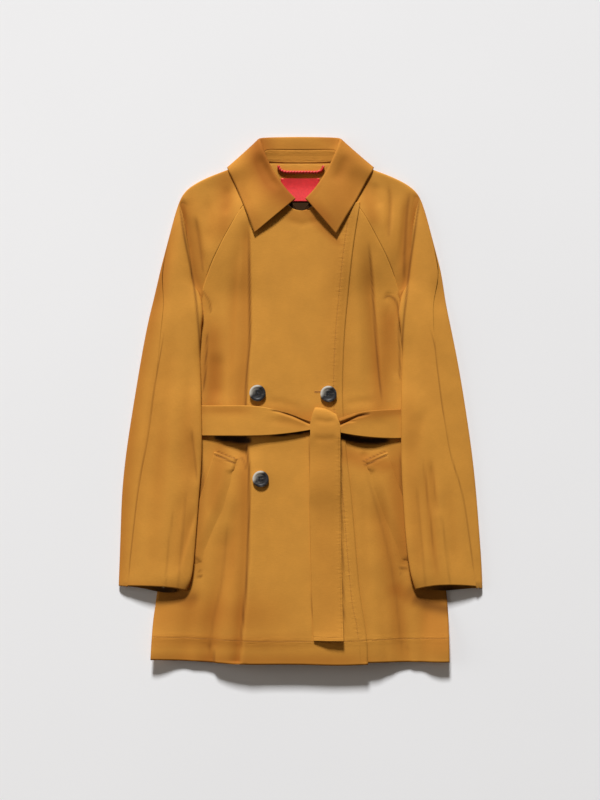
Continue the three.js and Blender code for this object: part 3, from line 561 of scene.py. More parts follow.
CUFF_GAPS = {"right": (-222, 44), "left": (240, 44)}  # middle and half width of what shows in each cuff


TAIL_TWIST_FROM = -330  # the belt's tail twists from here down,
TAIL_TWIST_REACH = 60  # over this length,
TAIL_MIDDLE, TAIL_HALF = 44, 25  # about its middle line
TAIL_UP, TAIL_DOWN = 1.6, 4.6


def tilt_tail_end(obj):
    """The end of the belt's long tail twists: its left corner lies down and its right corner stands up."""
    co = points_of(obj)
    twist = smooth((TAIL_TWIST_FROM - co[:, 1]) / TAIL_TWIST_REACH) * (co[:, 0] - TAIL_MIDDLE) / TAIL_HALF
    co[:, 2] += np.where(twist > 0, TAIL_UP, TAIL_DOWN) * twist
    set_points(obj, co)


FOOT_TOP, FOOT_BOTTOM = (384, 8), (374, 6)  # where the stand's foot ends, and over what length
FOOT_LIFT = 0.4
FOOT_HEIGHT = (8, 4)  # only what lies lower than this is lifted


def raise_foot(obj):
    """The lower edge of the stand lies over the facing at the back of the neck."""
    co = points_of(obj)
    y, z = co[:, 1], co[:, 2]
    low = (1 - smooth((y - FOOT_TOP[0]) / FOOT_TOP[1])) * smooth((y - FOOT_BOTTOM[0]) / FOOT_BOTTOM[1])
    co[:, 2] += FOOT_LIFT * low * (1 - smooth((z - FOOT_HEIGHT[0]) / FOOT_HEIGHT[1]))
    set_points(obj, co)


CUFF_DROP = 9  # how far the under half of a sleeve shows below the upper one
CUFF_FROM, CUFF_REACH = -282, 16
# where the painted shade inside each cuff begins, and the length over which it turns near black
CUFF_DARK_FROM, CUFF_DARK_REACH = -290, 6


def open_cuff(obj, gap):
    """The under half of a sleeve shows below the upper half at the cuff, and the inside over it is painted near
    black as shade.
    """
    middle, half = gap
    co = points_of(obj)
    x, y, _ = co.T
    belly = np.exp(-(((x - middle) / half) ** 2)) * smooth((CUFF_FROM - y) / CUFF_REACH)
    co[:, 1] -= CUFF_DROP * belly
    # painted shade, near black, over the inside of the cuff
    set_attribute(obj, "inside", smooth((CUFF_DARK_FROM - y) / CUFF_DARK_REACH) * belly)
    set_points(obj, co)


def paint_neck_shade(obj, lit, dark):
    """Paints shade, near black, on what lies deep in the neck, between the two heights, where no light gets in.
    """
    y = points_of(obj)[:, 1]
    set_attribute(obj, "inside", smooth((lit - y) / (lit - dark)))


def lengthened(obj, edge, start, by, axis=1):
    """Makes a piece longer past "edge", growing over the stretch from "edge" to "start"."""
    co = points_of(obj)
    co[:, axis] += by * smooth((co[:, axis] - edge) / (start - edge))
    set_points(obj, co)


def mark_stitches(obj, first=None, second=None):
    """How far each point is from up to two rows of stitches, for the dents and puckers of the cloth there and
    the shade painted into the dents.
    """
    x, y, _ = points_of(obj).T
    for name, line in (("stitch_a", first), ("stitch_b", second)):
        if line is None:
            set_attribute(obj, name, np.full(x.shape, 99.0))
        else:
            d, side, _ = beside(line, x, y)
            set_attribute(obj, name, d * side)


def finish_piece(obj, material, node):
    """Gives a piece its material, hangs it on the coat's body, and hides the frame node that it stands for."""
    obj.data.materials.clear()
    obj.data.materials.append(material)
    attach(obj, BODY)
    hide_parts(node)


def cloth_piece(node, name, wall, levels):
    """A frame solid's own mesh, squared and rounded into a new piece."""
    return rounded(as_object(squared_mesh(node, wall), name), levels)


WALL = 1.5 * MM  # single cloth, with its facing or seam allowance
DOUBLE_WALL = 2.0 * MM  # collar and belt, which are of two cloths

# Painted shade in lines along creases, the feet of overlaps such as the belt's tail, and under the belt and the
# cuffs: (line, half width, strength)
FRONT_SHADE_LINES = [
    (LOWER_EDGE, 2.0, 0.75),
    ([[109, 262], [114, 211], [121, 114], [126, 49], [133, -9]], 1.7, 0.65),
    ([[-150, 112], [-152, 80], [-154, 45], [-157, 6]], 1.2, 0.7),
    ([[-160, 180], [-153, 170], [-147, 158], [-145, 140]], 1.5, 0.5),
    ([[132, 162], [142, 169], [152, 164], [158, 150], [161, 120]], 1.8, 0.6),
    ([[158, 130], [160, 90], [161, 30]], 1.8, 0.6),
    ([[15, -40], [17, -140], [19, -280], [20.5, -384]], 1.6, 0.75),
    ([[65, -46], [66, -140], [68, -280], [70, -384]], 1.6, 0.6),
    ([[-160, -82], [-158, -150], [-163, -210], [-170, -262]], 2.4, 0.5),
    ([[162, -76], [163, -150], [168, -220], [176, -268]], 2.4, 0.5),
    ([[-158, -277], [-165, -274], [-173, -274]], 1.0, 0.6),
    ([[-158, -284], [-165, -283], [-173, -281]], 1.0, 0.6),
    ([[158, -272], [166, -270], [174, -270]], 1.0, 0.6),
    ([[158, -279], [166, -278], [174, -277]], 1.0, 0.6),
    ([[-97, -90], [-90, -100], [-88, -112]], 1.8, 0.4),
    ([[-132, -60], [-104, -65], [-76, -66]], 5.5, 0.95),
    ([[58, -57], [90, -63], [120, -65], [150, -63]], 5.0, 0.92),
    ([[-52, -56], [-15, -53], [24, -48]], 3.2, 0.85),
    ([[-141, -392], [-139, -425]], 1.3, 0.35),
    ([[170, -296], [214, -316], [280, -330]], 17, 0.42),
    ([[178, -316], [214, -332], [256, -340]], 10, 0.75),
    ([[-266, -336], [-214, -324], [-160, -316]], 8, 0.35),
    ([[-117, -190], [-127, -291], [-141, -356], [-149, -424]], 2.6, 0.22),
    ([[104, -110], [130, -200], [150, -290], [166, -424]], 2.4, 0.2),
]
# Painted shade over wide soft hollows and other shaded stretches, such as under the cuffs and along the hem:
# (line, half width, strength). The lines run on past the cloth, where they fade.
FRONT_SHADES = [
    ([[70, 400], [62, 200], [56, 100], [52, -40]], 24, 0.2),
    ([[104, 330], [108, 200], [116, 100], [122, -40]], 15, 0.12),
    ([[-98, 250], [-104, 100], [-108, -60]], 13, 0.3),
    ([[-142, 150], [-142, 60], [-146, -60]], 18, 0.75),
    ([[142, 180], [136, 80], [124, -50]], 17, 0.62),
    ([[-94, -40], [-98, -200], [-112, -330], [-120, -450]], 13, 0.28),
    ([[-126, -40], [-132, -110], [-146, -200]], 16, 0.5),
    ([[40, -76], [124, -102], [210, -112]], 15, 0.72),
    ([[154, -50], [160, -150], [172, -300]], 20, 0.7),
    ([[-158, -90], [-166, -180], [-178, -300]], 17, 0.5),
    ([[126, -90], [138, -200], [156, -320], [166, -450]], 15, 0.36),
    ([[78, -60], [86, -200], [100, -330], [106, -440]], 12, 0.1),
    ([[-460, -340], [-180, -346], [-80, -344], [20, -350]], 34, 0.5),
    ([[-460, -388], [-180, -388], [-40, -389], [60, -390]], 15, 0.5),
    ([[-262, -270], [-206, -312], [-150, -340]], 22, 0.7),
    ([[196, -240], [216, -330], [236, -440]], 34, 0.6),
    ([[130, -290], [180, -316], [250, -330]], 18, 0.7),
    ([[-460, -418], [-150, -419], [60, -420], [200, -420]], 13, 0.6),
    ([[-40, 314], [0, 296], [40, 314]], 12, 0.5),
    ([[-30, 344], [24, 290], [80, 236]], 9, 0.7),
    ([[-60, -8], [0, -28], [60, -40], [150, -20]], 16, 0.4),
]
RIGHT_SLEEVE_SHADES = [
    ([[-186, 380], [-176, 280], [-164, 210], [-158, 150]], 15, 0.26),
    ([[-118, 400], [-122, 320], [-126, 240]], 18, 0.6),
    ([[-214, 400], [-192, 320], [-184, 240]], 9, 0.4),
    ([[-172, 40], [-178, -60], [-182, -200], [-188, -330]], 15, 0.3),
    ([[-226, 120], [-240, 0], [-262, -160], [-280, -330]], 9, 0.2),
    ([[-214, -10], [-226, -120], [-240, -300]], 13, 0.2),
    ([[-170, 420], [-202, 330], [-220, 240], [-242, 140], [-268, 20], [-288, -150], [-302, -330], [-312, -460]],
     17, 0.7),
    ([[-340, -290], [-250, -302], [-160, -306]], 9, 0.4),
]
LEFT_SLEEVE_SHADES = [
    ([[184, 360], [174, 290], [168, 210], [164, 150]], 13, 0.3),
    ([[136, 366], [142, 310], [150, 240], [160, 180]], 16, 0.1),
    ([[98, 380], [110, 320], [124, 270]], 12, 0.5),
    ([[170, 60], [176, -60], [184, -180], [192, -330]], 14, 0.26),
    ([[200, -60], [210, -160], [222, -330]], 9, 0.26),
    ([[200, 400], [204, 320], [214, 270]], 12, 0.4),
]
COLLAR_SHADES = [
    ([[-90, 520], [-66, 400], [-46, 352], [-18, 326], [90, 250]], 24, 1.0),
    ([[-150, 400], [-106, 330], [-70, 260], [-40, 160]], 18, 0.36),
    ([[10, 446], [60, 420], [120, 396]], 13, 0.5),
    ([[104, 560], [86, 420], [72, 350], [60, 240], [50, 140]], 40, 0.42),
    ([[50, 400], [10, 320], [-10, 280]], 12, 0.5),
    ([[-140, 412], [0, 410], [140, 412]], 7, 0.2),
]
BELT_SHADES = [
    ([[-40, -20], [16, -42]], 16, 0.3),
    ([[30, -44], [70, -30], [110, -22], [200, -12]], 10, 0.75),
    ([[-230, -14], [-150, -14], [-90, -16], [-60, -18]], 9, 0.45),
]
TAIL_SHADES = [([[40, 60], [46, -240], [54, -560]], 40, 0.22)]
# Painted shadow, near black, where the cloth falls away under the belt, out of all light
BELT_PAINTED_SHADOWS = [
    ([[-150, -57], [-108, -61.5], [-96, -63], [-70, -65]], 7.4, 1.0),
    ([[40, -48], [70, -58], [92, -63], [118, -65], [156, -64]], 6.4, 1.0),
    ([[-56, -56], [-12, -52], [16, -48], [60, -44]], 3.6, 1.0),
]

# Painted shade in lines along the sleeves' folds and seams: (line, half width, strength)
RIGHT_SLEEVE_SHADE_LINES = [
    (RIGHT_HEAD_FOLD, 1.8, 0.7),
    ([[-170, 300], [-164, 262], [-160, 230], [-157, 203]], 2.2, 0.35),
    ([[-176, -44], [-171, -88], [-166, -132]], 1.6, 0.36),
    ([[-204, -170], [-214, -250], [-218, -330]], 1.8, 0.22),
    ([[-184, -140], [-190, -220], [-200, -330]], 2.2, 0.25),
    (OVERARM_RIGHT, 1.1, 0.5),
]
LEFT_SLEEVE_SHADE_LINES = [
    (LEFT_HEAD_FOLD, 1.8, 0.7),
    ([[177, 340], [172, 300], [169, 250], [167, 190]], 2.6, 0.45),
    ([[142, 349], [145, 317], [142, 260]], 2.6, 0.3),
    ([[197, -92], [205, -161], [213, -226], [222, -290]], 1.5, 0.34),
    ([[210, -100], [217, -150], [221, -180]], 1.4, 0.25),
    ([[226, -180], [236, -250], [244, -330]], 2.0, 0.26),
    ([[186, -130], [194, -220], [204, -330]], 2.0, 0.22),
    (OVERARM_LEFT, 1.1, 0.5),
]

# ---------------------------------------------------------------------------------------------
# Materials


class Nodes:
    """Small helper that adds and links the nodes of one material."""

    def __init__(self, name):
        self.material = bpy.data.materials.new(name)
        self.material.use_nodes = True
        self.tree = self.material.node_tree
        self.shader = self.tree.nodes["Principled BSDF"]

    def add(self, kind, **settings):
        node = self.tree.nodes.new(kind)
        for key, value in settings.items():
            setattr(node, key, value)
        return node

    def link(self, source, target):
        self.tree.links.new(source, target)

    def put(self, socket, value):
        if isinstance(value, bpy.types.NodeSocket):
            self.link(value, socket)
        else:
            socket.default_value = value

    def math(self, operation, a, b=0.0, clamp=False):
        node = self.add("ShaderNodeMath", operation=operation, use_clamp=clamp)
        self.put(node.inputs[0], a)
        self.put(node.inputs[1], b)
        return node.outputs[0]

    def attribute(self, name):
        return self.add("ShaderNodeAttribute", attribute_name=name).outputs["Fac"]

    def object_point(self, turn=0.0, scale=(1, 1, 1)):
        coordinates = self.add("ShaderNodeTexCoord").outputs["Object"]
        mapping = self.add("ShaderNodeMapping")
        mapping.inputs["Rotation"].default_value = (0, 0, turn)
        mapping.inputs["Scale"].default_value = scale
        self.link(coordinates, mapping.inputs["Vector"])
        return mapping.outputs["Vector"]

    def noise(self, vector, scale, detail=3.0, roughness=0.55):
        node = self.add("ShaderNodeTexNoise")
        self.link(vector, node.inputs["Vector"])
        node.inputs["Scale"].default_value = scale
        node.inputs["Detail"].default_value = detail
        node.inputs["Roughness"].default_value = roughness
        return node.outputs["Fac"]

    def wave(self, vector, scale, distortion=0.0, direction="X"):
        node = self.add("ShaderNodeTexWave", bands_direction=direction)
        self.link(vector, node.inputs["Vector"])
        node.inputs["Scale"].default_value = scale
        node.inputs["Distortion"].default_value = distortion
        node.inputs["Detail"].default_value = 1.0
        return node.outputs["Fac"]

    def spread(self, value, low, high, to_low=0.0, to_high=1.0):
        node = self.add("ShaderNodeMapRange")
        self.link(value, node.inputs["Value"])
        for name, number in zip(("From Min", "From Max", "To Min", "To Max"), (low, high, to_low, to_high)):
            node.inputs[name].default_value = number
        return node.outputs["Result"]

    def blend(self, share, first, second):
        node = self.add("ShaderNodeMix", data_type="RGBA")
        self.put(node.inputs["Factor"], share)
        self.put(node.inputs[6], first)
        self.put(node.inputs[7], second)
        return node.outputs[2]

    def mottled(self, tone, low, high, colour, dark, pale):
        """Links the shader's colour to one colour that varies between two gains with a noise."""
        mixed = self.blend(self.spread(tone, low, high), rgba(colour, dark), rgba(colour, pale))
        self.link(mixed, self.shader.inputs["Base Color"])

    def bump(self, height, distance, strength=1.0, under=None):
        node = self.add("ShaderNodeBump")
        node.inputs["Distance"].default_value = distance
        node.inputs["Strength"].default_value = strength
        self.link(height, node.inputs["Height"])
        if under is not None:
            self.link(under, node.inputs["Normal"])
        return node.outputs["Normal"]


def rgba(colour, gain=1.0):
    return (*(c * gain for c in colour), 1.0)


SHADE = (0.64, 0.49, 0.35)  # painted shade colour: what is left of the cloth's colour in a fold, where it lights itself
TWILL_PITCH = 0.9 * MM
TWILL_TURN = math.radians(63)
SEAM_GROOVE = 0.9  # half width of the dent that a row of stitches makes, and of the shade painted into it, in millimetres
PUCKER_REACH = 9.0  # how far the cloth puckers beside a row, in millimetres
GROOVE_SHARE = 0.16  # how much of the painted shade colour a dent, a fold and the inside take,
HOLLOW_SHARE = 0.5
INSIDE_SHARE = 0.95
CREASE_LIGHT = 0.4  # and how dark that painted shade is in a crease and deep inside
INSIDE_LIGHT = 0.04


def gabardine(name, turn=0.0, painted_shade_gain=(1.0, 1.0, 1.0)):
    """Tightly woven twill: a steep diagonal rib, slubs across it, mottling, and dented stitch rows, with shade
    painted into its colour in the dents, folds, creases and hollows, and near black deep inside.
    """
    n = Nodes(name)
    # The gain below 1 that the collar passes in makes a darker, shaded copy of the cloth: painted shade.
    cloth = [a * b for a, b in zip(colours().cloth, painted_shade_gain)]
    shade = [a * b for a, b in zip(cloth, SHADE)]
    grain = n.object_point(turn)
    across = n.object_point(turn, scale=(0.16, 1, 1))
    mottle = n.noise(grain, 26, 4)
    slub = n.noise(across, 900, 2)
    fine = n.noise(grain, 1500, 1)
    n.shader.inputs["Roughness"].default_value = 0.82
    n.shader.inputs["Specular IOR Level"].default_value = 0.2
    n.shader.inputs["Sheen Weight"].default_value = 0.03
    n.shader.inputs["Sheen Roughness"].default_value = 0.45
    n.shader.inputs["Sheen Tint"].default_value = (1.0, 0.78, 0.45, 1)
    base = n.blend(n.spread(mottle, 0.3, 0.7), rgba(cloth, 0.93), rgba(cloth, 1.05))
    streaked = n.blend(n.spread(slub, 0.25, 0.75, 0, 0.26), base, rgba(cloth, 0.72))
    grooves = []
    for row in ("stitch_a", "stitch_b"):
        off = n.math("DIVIDE", n.math("ABSOLUTE", n.attribute(row)), SEAM_GROOVE)
        grooves.append(n.math("POWER", 2.718, n.math("MULTIPLY", n.math("MULTIPLY", off, off), -1.0)))
    groove = n.math("MAXIMUM", *grooves)
    rows = ("stitch_a", "stitch_b")
    near = [n.spread(n.math("ABSOLUTE", n.attribute(row)), PUCKER_REACH, 0.0) for row in rows]
    gathers = n.noise(n.object_point(turn, (0.45, 1.5, 1)), 170, 2)
    puckered = n.math("MULTIPLY", n.math("MAXIMUM", *near), gathers)
    # Painted shade: the stitch dents, the folds, the soft hollows and the creases take the shade colour, and
    # deep insides are painted near black.
    darkened = n.blend(n.math("MULTIPLY", groove, GROOVE_SHARE), streaked, rgba(shade, 0.8))
    hollow = n.math("MULTIPLY", n.attribute("hollow"), HOLLOW_SHARE)
    deep = n.math("ADD", hollow, n.attribute("shade"), clamp=True)
    shaded = n.blend(deep, darkened, rgba(shade))
    creased = n.blend(n.attribute("crease"), shaded, rgba(shade, CREASE_LIGHT))
    unlit = n.math("MULTIPLY", n.attribute("inside"), INSIDE_SHARE)
    n.link(n.blend(unlit, creased, rgba(shade, INSIDE_LIGHT)), n.shader.inputs["Base Color"])
    rib = n.wave(n.object_point(turn + TWILL_TURN), 1 / TWILL_PITCH / 6.2832, 0.6)
    weave = n.bump(rib, 0.10 * MM, 0.55)
    slubs = n.bump(slub, 0.16 * MM, 0.7, weave)
    fuzz = n.bump(fine, 0.08 * MM, 0.5, slubs)
    dent = n.bump(n.math("MULTIPLY", groove, -1.0), 0.35 * MM, 0.8, fuzz)
    n.link(n.bump(puckered, 1.2 * MM, 0.6, dent), n.shader.inputs["Normal"])
    return n.material


def thread_material(name, colour):
    n = Nodes(name)
    point = n.object_point()
    tone = n.noise(point, 700, 2)
    n.mottled(tone, 0.3, 0.7, colour, 0.8, 1.25)
    n.shader.inputs["Roughness"].default_value = 0.6
    n.link(n.bump(n.wave(n.object_point(0.6), 420, 1.0), 0.1 * MM, 0.8), n.shader.inputs["Normal"])
    return n.material


def label_material():
    n = Nodes("woven_label")
    colour = colours().label
    pick = n.wave(n.object_point(), 1 / (0.5 * MM) / 6.2832, 0.2, "Y")
    tone = n.noise(n.object_point(), 240, 3)
    n.mottled(tone, 0.25, 0.75, colour, 0.86, 1.1)
    n.shader.inputs["Roughness"].default_value = 0.5
    n.shader.inputs["Sheen Weight"].default_value = 0.3
    n.shader.inputs["Sheen Roughness"].default_value = 0.3
    n.link(n.bump(pick, 0.12 * MM, 0.7), n.shader.inputs["Normal"])
    return n.material


def cord_material():
    """Twisted cord: slanting plies round its length, with a soft shine."""
    n = Nodes("loop_cord")
    colour = colours().loop
    plies = n.wave(n.object_point(math.radians(32)), 1 / (2.1 * MM) / 6.2832, 0.8)
    fibres = n.noise(n.object_point(math.radians(32), (1, 0.2, 1)), 1300, 2)
    # The plies are darker in their grooves and paler on their crowns: painted shade and painted light.
    n.link(n.blend(plies, rgba(colour, 0.7), rgba(colour, 1.25)), n.shader.inputs["Base Color"])
    n.shader.inputs["Roughness"].default_value = 0.48
    n.shader.inputs["Sheen Weight"].default_value = 0.25
    n.link(n.bump(fibres, 0.12 * MM, 0.6, n.bump(plies, 0.5 * MM, 0.9)), n.shader.inputs["Normal"])
    return n.material


def horn_material():
    """Polished horn: dark, with pale cloudy streaks, and a painted highlight: a paler arc along the upper left
    of the rim.
    """
    n = Nodes("button_horn")
    dark, pale = colours().horn, colours().horn_pale_and_highlight
    streaks = n.noise(n.object_point(0.7, (1, 3.2, 1)), 95, 4, 0.6)
    cloud = n.noise(n.object_point(), 60, 2)
    rim = n.attribute("rim")
    # The pale streaks are the horn's own; the pale arc on the rim is a painted highlight.
    share = n.math("ADD", n.spread(streaks, 0.55, 0.75, 0, 0.25), n.math("MULTIPLY", rim, 0.95), clamp=True)
    base = n.blend(n.spread(cloud, 0.3, 0.7), rgba(dark), rgba(dark, 1.9))
    n.link(n.blend(share, base, rgba(pale)), n.shader.inputs["Base Color"])
    n.shader.inputs["Roughness"].default_value = 0.5
    n.shader.inputs["Specular IOR Level"].default_value = 0.25
    n.shader.inputs["Coat Weight"].default_value = 0.05
    n.shader.inputs["Coat Roughness"].default_value = 0.3
    return n.material


def floor_material():
    n = Nodes("studio_floor")
    tone = n.noise(n.object_point(), 2.2, 2)
    colour = colours().floor
    n.mottled(tone, 0.3, 0.7, colour, 0.985, 1.0)
    n.shader.inputs["Roughness"].default_value = 0.9
    n.shader.inputs["Specular IOR Level"].default_value = 0.1
    return n.material


MATERIALS = {}


def material(name):
    """Each material once, made the first time it is asked for."""
    makers = {
        "body": lambda: gabardine("gabardine_body"),
        "sleeve_right": lambda: gabardine("gabardine_sleeve_right", turn=math.radians(13)),
        "sleeve_left": lambda: gabardine("gabardine_sleeve_left", turn=math.radians(-13)),
        # The collar and its stand use a darker, shaded copy of the cloth: painted shade.
        "collar": lambda: gabardine("gabardine_collar", turn=math.radians(90), painted_shade_gain=(0.88, 0.83, 0.76)),
        "belt": lambda: gabardine("gabardine_belt", turn=math.radians(90)),
        "thread": lambda: thread_material("sewing_thread", colours().thread),
        "horn_thread": lambda: thread_material("button_thread", colours().horn),
        "label": label_material,
        "cord": cord_material,
        "horn": horn_material,
        "floor": floor_material,
    }
    if name not in MATERIALS:
        MATERIALS[name] = makers[name]()
    return MATERIALS[name]


# ---------------------------------------------------------------------------------------------
# Laying small things on the cloth


def surface_of(objects):
    """One search tree over the outer faces of several pieces."""
    corners, faces = [], []
    for obj in objects:
        base = len(corners)
        corners.extend(v.co.copy() for v in obj.data.vertices)
        faces.extend([base + i for i in p.vertices] for p in obj.data.polygons)
    return BVHTree.FromPolygons(corners, faces)


def dropped(tree, x, y):
    """The highest point of the cloth over plan point x, y (in millimetres), and the way it faces."""
    place, normal, _, _ = tree.ray_cast(Vector((x * MM, y * MM, 0.2)), Vector((0, 0, -1)))
    return place, normal


def along_line(line, pitch):
    """Plan points every "pitch" millimetres along a line, with the direction it runs in."""
    points = [np.array(p, float) for p in line]
    out, left = [], 0.0
    for a, b in zip(points, points[1:]):
        length = np.hypot(*(b - a))
        run = (b - a) / length
        while left <= length:
            out.append((a + run * left, run))
            left += pitch
        left -= length
    return out


def smooth_line(line, count=8):
    """The same line through Catmull-Rom curves, so that it bends as sewn cloth does."""
    p = [np.array(q, float) for q in line]
    p = [2 * p[0] - p[1], *p, 2 * p[-1] - p[-2]]
    out = []
    for a, b, c, d in zip(p, p[1:], p[2:], p[3:]):
        for t in np.linspace(0, 1, count, endpoint=False):
            out.append(0.5 * (2 * b + (c - a) * t + (2 * a - 5 * b + 4 * c - d) * t ** 2
                              + (3 * b - a - 3 * c + d) * t ** 3))
    out.append(p[-2])
    return out


STEEPEST = 0.3  # cloth that stands up more steeply than this gets no stitch
STITCH_SIDES = 6
STITCH_STOPS = (-0.5, -0.3, 0.0, 0.3, 0.5)  # shares of a stitch's length, from its middle


def stitch_corners(place, normal, ahead, length, thread):
    """The rings of one stitch: a short thread that goes down into the cloth at both ends."""
    ahead = (ahead - normal * ahead.dot(normal)).normalized()
    aside = normal.cross(ahead)
    corners = []
    for stop in STITCH_STOPS:
        girth = thread / 2 * (1 - (2 * stop) ** 6 * 0.55)
        rise = thread * (0.34 - (2 * stop) ** 4 * 0.6)
        centre = place + (ahead * stop * length + normal * rise) * MM
        for k in range(STITCH_SIDES):
            turn = 2 * math.pi * k / STITCH_SIDES
            corners.append(centre + (aside * math.cos(turn) + normal * math.sin(turn)) * girth * MM)
    return corners


def stitch_faces(base):
    """The faces of one stitch whose first corner is number "base"."""
    sides = STITCH_SIDES
    faces = []
    for s in range(len(STITCH_STOPS) - 1):
        for k in range(sides):
            a = base + s * sides + k
            b = base + s * sides + (k + 1) % sides
            faces.append((a, b, b + sides, a + sides))
    last = base + (len(STITCH_STOPS) - 1) * sides
    faces.append(tuple(base + k for k in reversed(range(sides))))
    faces.append(tuple(last + k for k in range(sides)))
    return faces


def stitches(name, rows, tree, length=None, pitch=None, across=False):
    """Rows of short thread stitches, each pressed into the cloth at both ends."""
    length = length or sizes().stitch_length / MM
    pitch = pitch or sizes().stitch_pitch / MM
    thread = sizes().thread / MM
    corners, faces = [], []
    for row in rows:
        for (x, y), run in along_line(row, pitch):
            place, normal = dropped(tree, x, y)
            if place is None or normal.z < STEEPEST:
                continue
            ahead = Vector((-run[1], run[0], 0)) if across else Vector((run[0], run[1], 0))
            faces.extend(stitch_faces(len(corners)))
            corners.extend(stitch_corners(place, normal, ahead, length, thread))
    mesh = bpy.data.meshes.new(name)
    mesh.from_pydata(corners, [], faces)
    bm = bmesh.new()
    bm.from_mesh(mesh)
    bmesh.ops.recalc_face_normals(bm, faces=bm.faces)
    bm.to_mesh(mesh)
    bm.free()
    obj = bpy.data.objects.new(name, mesh)
    bpy.context.scene.collection.objects.link(obj)
    for polygon in mesh.polygons:
        polygon.use_smooth = True
    mesh.materials.append(material("thread"))
    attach(obj, BODY)
    return obj


# Rows of stitches, in plan
WELT_ROWS = {
    "right": ([[-137, -80.5], [-97, -98]], [[-139, -86.5], [-99, -104]]),
    "left": ([[98, -100], [139, -81]], [[100, -106], [141, -87]]),
}
BUTTONHOLE = ([[22.5, 14.9], [33.5, 14.6]], [[22.5, 13.1], [33.5, 12.8]])
FRONT_EDGE = [[96, 320], [84, 242], [76, 163], [70, 93], [68, -1], [74, -80], [83, -161], [91, -258],
              [98, -329], [104, -357], [108, -392], [108.5, -424]]


def edge_row():
    margin = sizes().edge_margin / MM
    line = smooth_line([[x - margin, y] for x, y in FRONT_EDGE])
    return [p for p in line if p[1] > -385]


def hem_row(left, right):
    depth = sizes().hem_depth / MM
    hem = [[-243, -421], [-177, -423.5], [-95, -427], [0, -427.5], [62, -427.5], [109, -426], [175, -424.5],
           [240, -424]]
    line = smooth_line([[x, y + depth] for x, y in hem])
    return [p for p in line if left <= p[0] <= right]


PIECES = {}  # the pieces that are sewn on, by their nodes

# ---------------------------------------------------------------------------------------------
# Operators: one for each piece or group of like pieces


class COAT_OT_back(bpy.types.Operator):
    """Make the back panel, flat where the coat lies on it"""

    bl_idname = "coat.back"
    bl_label = "Back panel"

    def execute(self, context):
        back = cloth_piece("back_panel", "back", WALL, 2)
        lift_hem_corners(back)
        mark_stitches(back, hem_row(-245, 245))
        finish_piece(back, material("body"), "back_panel")
        return {"FINISHED"}


class COAT_OT_fronts(bpy.types.Operator):
    """Make the two fronts, the right one lapping over the left one"""

    bl_idname = "coat.fronts"
    bl_label = "Fronts"

    def execute(self, context):
        mouths = [(row, 1.2, 0.7) for rows in WELT_ROWS.values() for row in rows]
        for side, seed in (("left", 5), ("right", 9)):
            node = f"front_{side}"
            front = cloth_piece(node, node, WALL, 3)
            front.name = f"front_{side}_cloth"
            settle(front, FRONT_FOLDS, seed=seed)
            draw_over(front, RAGLAN_RIGHT, -SEAM_PULL, 9)
            draw_over(front, RAGLAN_LEFT, SEAM_PULL, 9)
            lift_hem_corners(front)
            if side == "right":
                sink(front, FRONT_EDGE, 1.2, 12)
            # Painted shade: lines along creases and under the belt and cuffs, soft hollows, and near black
            # where the cloth falls away under the belt.
            paint_line_shade(front, FRONT_SHADE_LINES + mouths)
            paint_soft_shade(front, FRONT_SHADES)
            paint_unlit_shade(front, BELT_PAINTED_SHADOWS)
            if side == "right":
                mark_stitches(front, edge_row(), hem_row(-245, 109))
            else:
                mark_stitches(front, None, hem_row(-100, 245))
            finish_piece(front, material("body"), node)
            PIECES[node] = front
        return {"FINISHED"}


class COAT_OT_sleeves(bpy.types.Operator):
    """Make the raglan sleeves, each of a front and a back half"""

    bl_idname = "coat.sleeves"
    bl_label = "Sleeves"

    def execute(self, context):
        for side, folds in (("right", RIGHT_SLEEVE_FOLDS), ("left", LEFT_SLEEVE_FOLDS)):
            for half in ("front", "back"):
                node = f"sleeve_{side}_{half}"
                sleeve = cloth_piece(node, f"{node}_cloth", WALL, 3)
                settle(sleeve, folds, seed=20, upper_only=(5, 10))
                draw_over(sleeve, RAGLAN_RIGHT, SEAM_PULL, 9)
                draw_over(sleeve, RAGLAN_LEFT, -SEAM_PULL, 9)
                draw_over(sleeve, UNDERARM_RIGHT, UNDERARM_PULL, 22, fade=(0.35, 0.35))
                draw_over(sleeve, UNDERARM_LEFT, -UNDERARM_PULL, 22, fade=(0.35, 0.35))
                draw_over(sleeve, RIGHT_HEAD_FOLD, HEAD_LAP, 26, fade=(0.05, 0.2), above=(4, 10))
                draw_over(sleeve, LEFT_HEAD_FOLD, -HEAD_LAP, 26, fade=(0.05, 0.2), above=(4, 10))
                inwards = 0.35 if half == "back" else -0.35
                draw_over(sleeve, OVERARM_RIGHT, inwards, 8)
                draw_over(sleeve, OVERARM_LEFT, -inwards, 8)
                if half == "back":
                    open_cuff(sleeve, CUFF_GAPS[side])
                # Painted shade along the sleeves' creases and over their soft hollows.
                paint_line_shade(sleeve, RIGHT_SLEEVE_SHADE_LINES if side == "right" else LEFT_SLEEVE_SHADE_LINES)
                paint_soft_shade(sleeve, RIGHT_SLEEVE_SHADES if side == "right" else LEFT_SLEEVE_SHADES)
                mark_stitches(sleeve)
                finish_piece(sleeve, material(f"sleeve_{side}"), node)
        return {"FINISHED"}


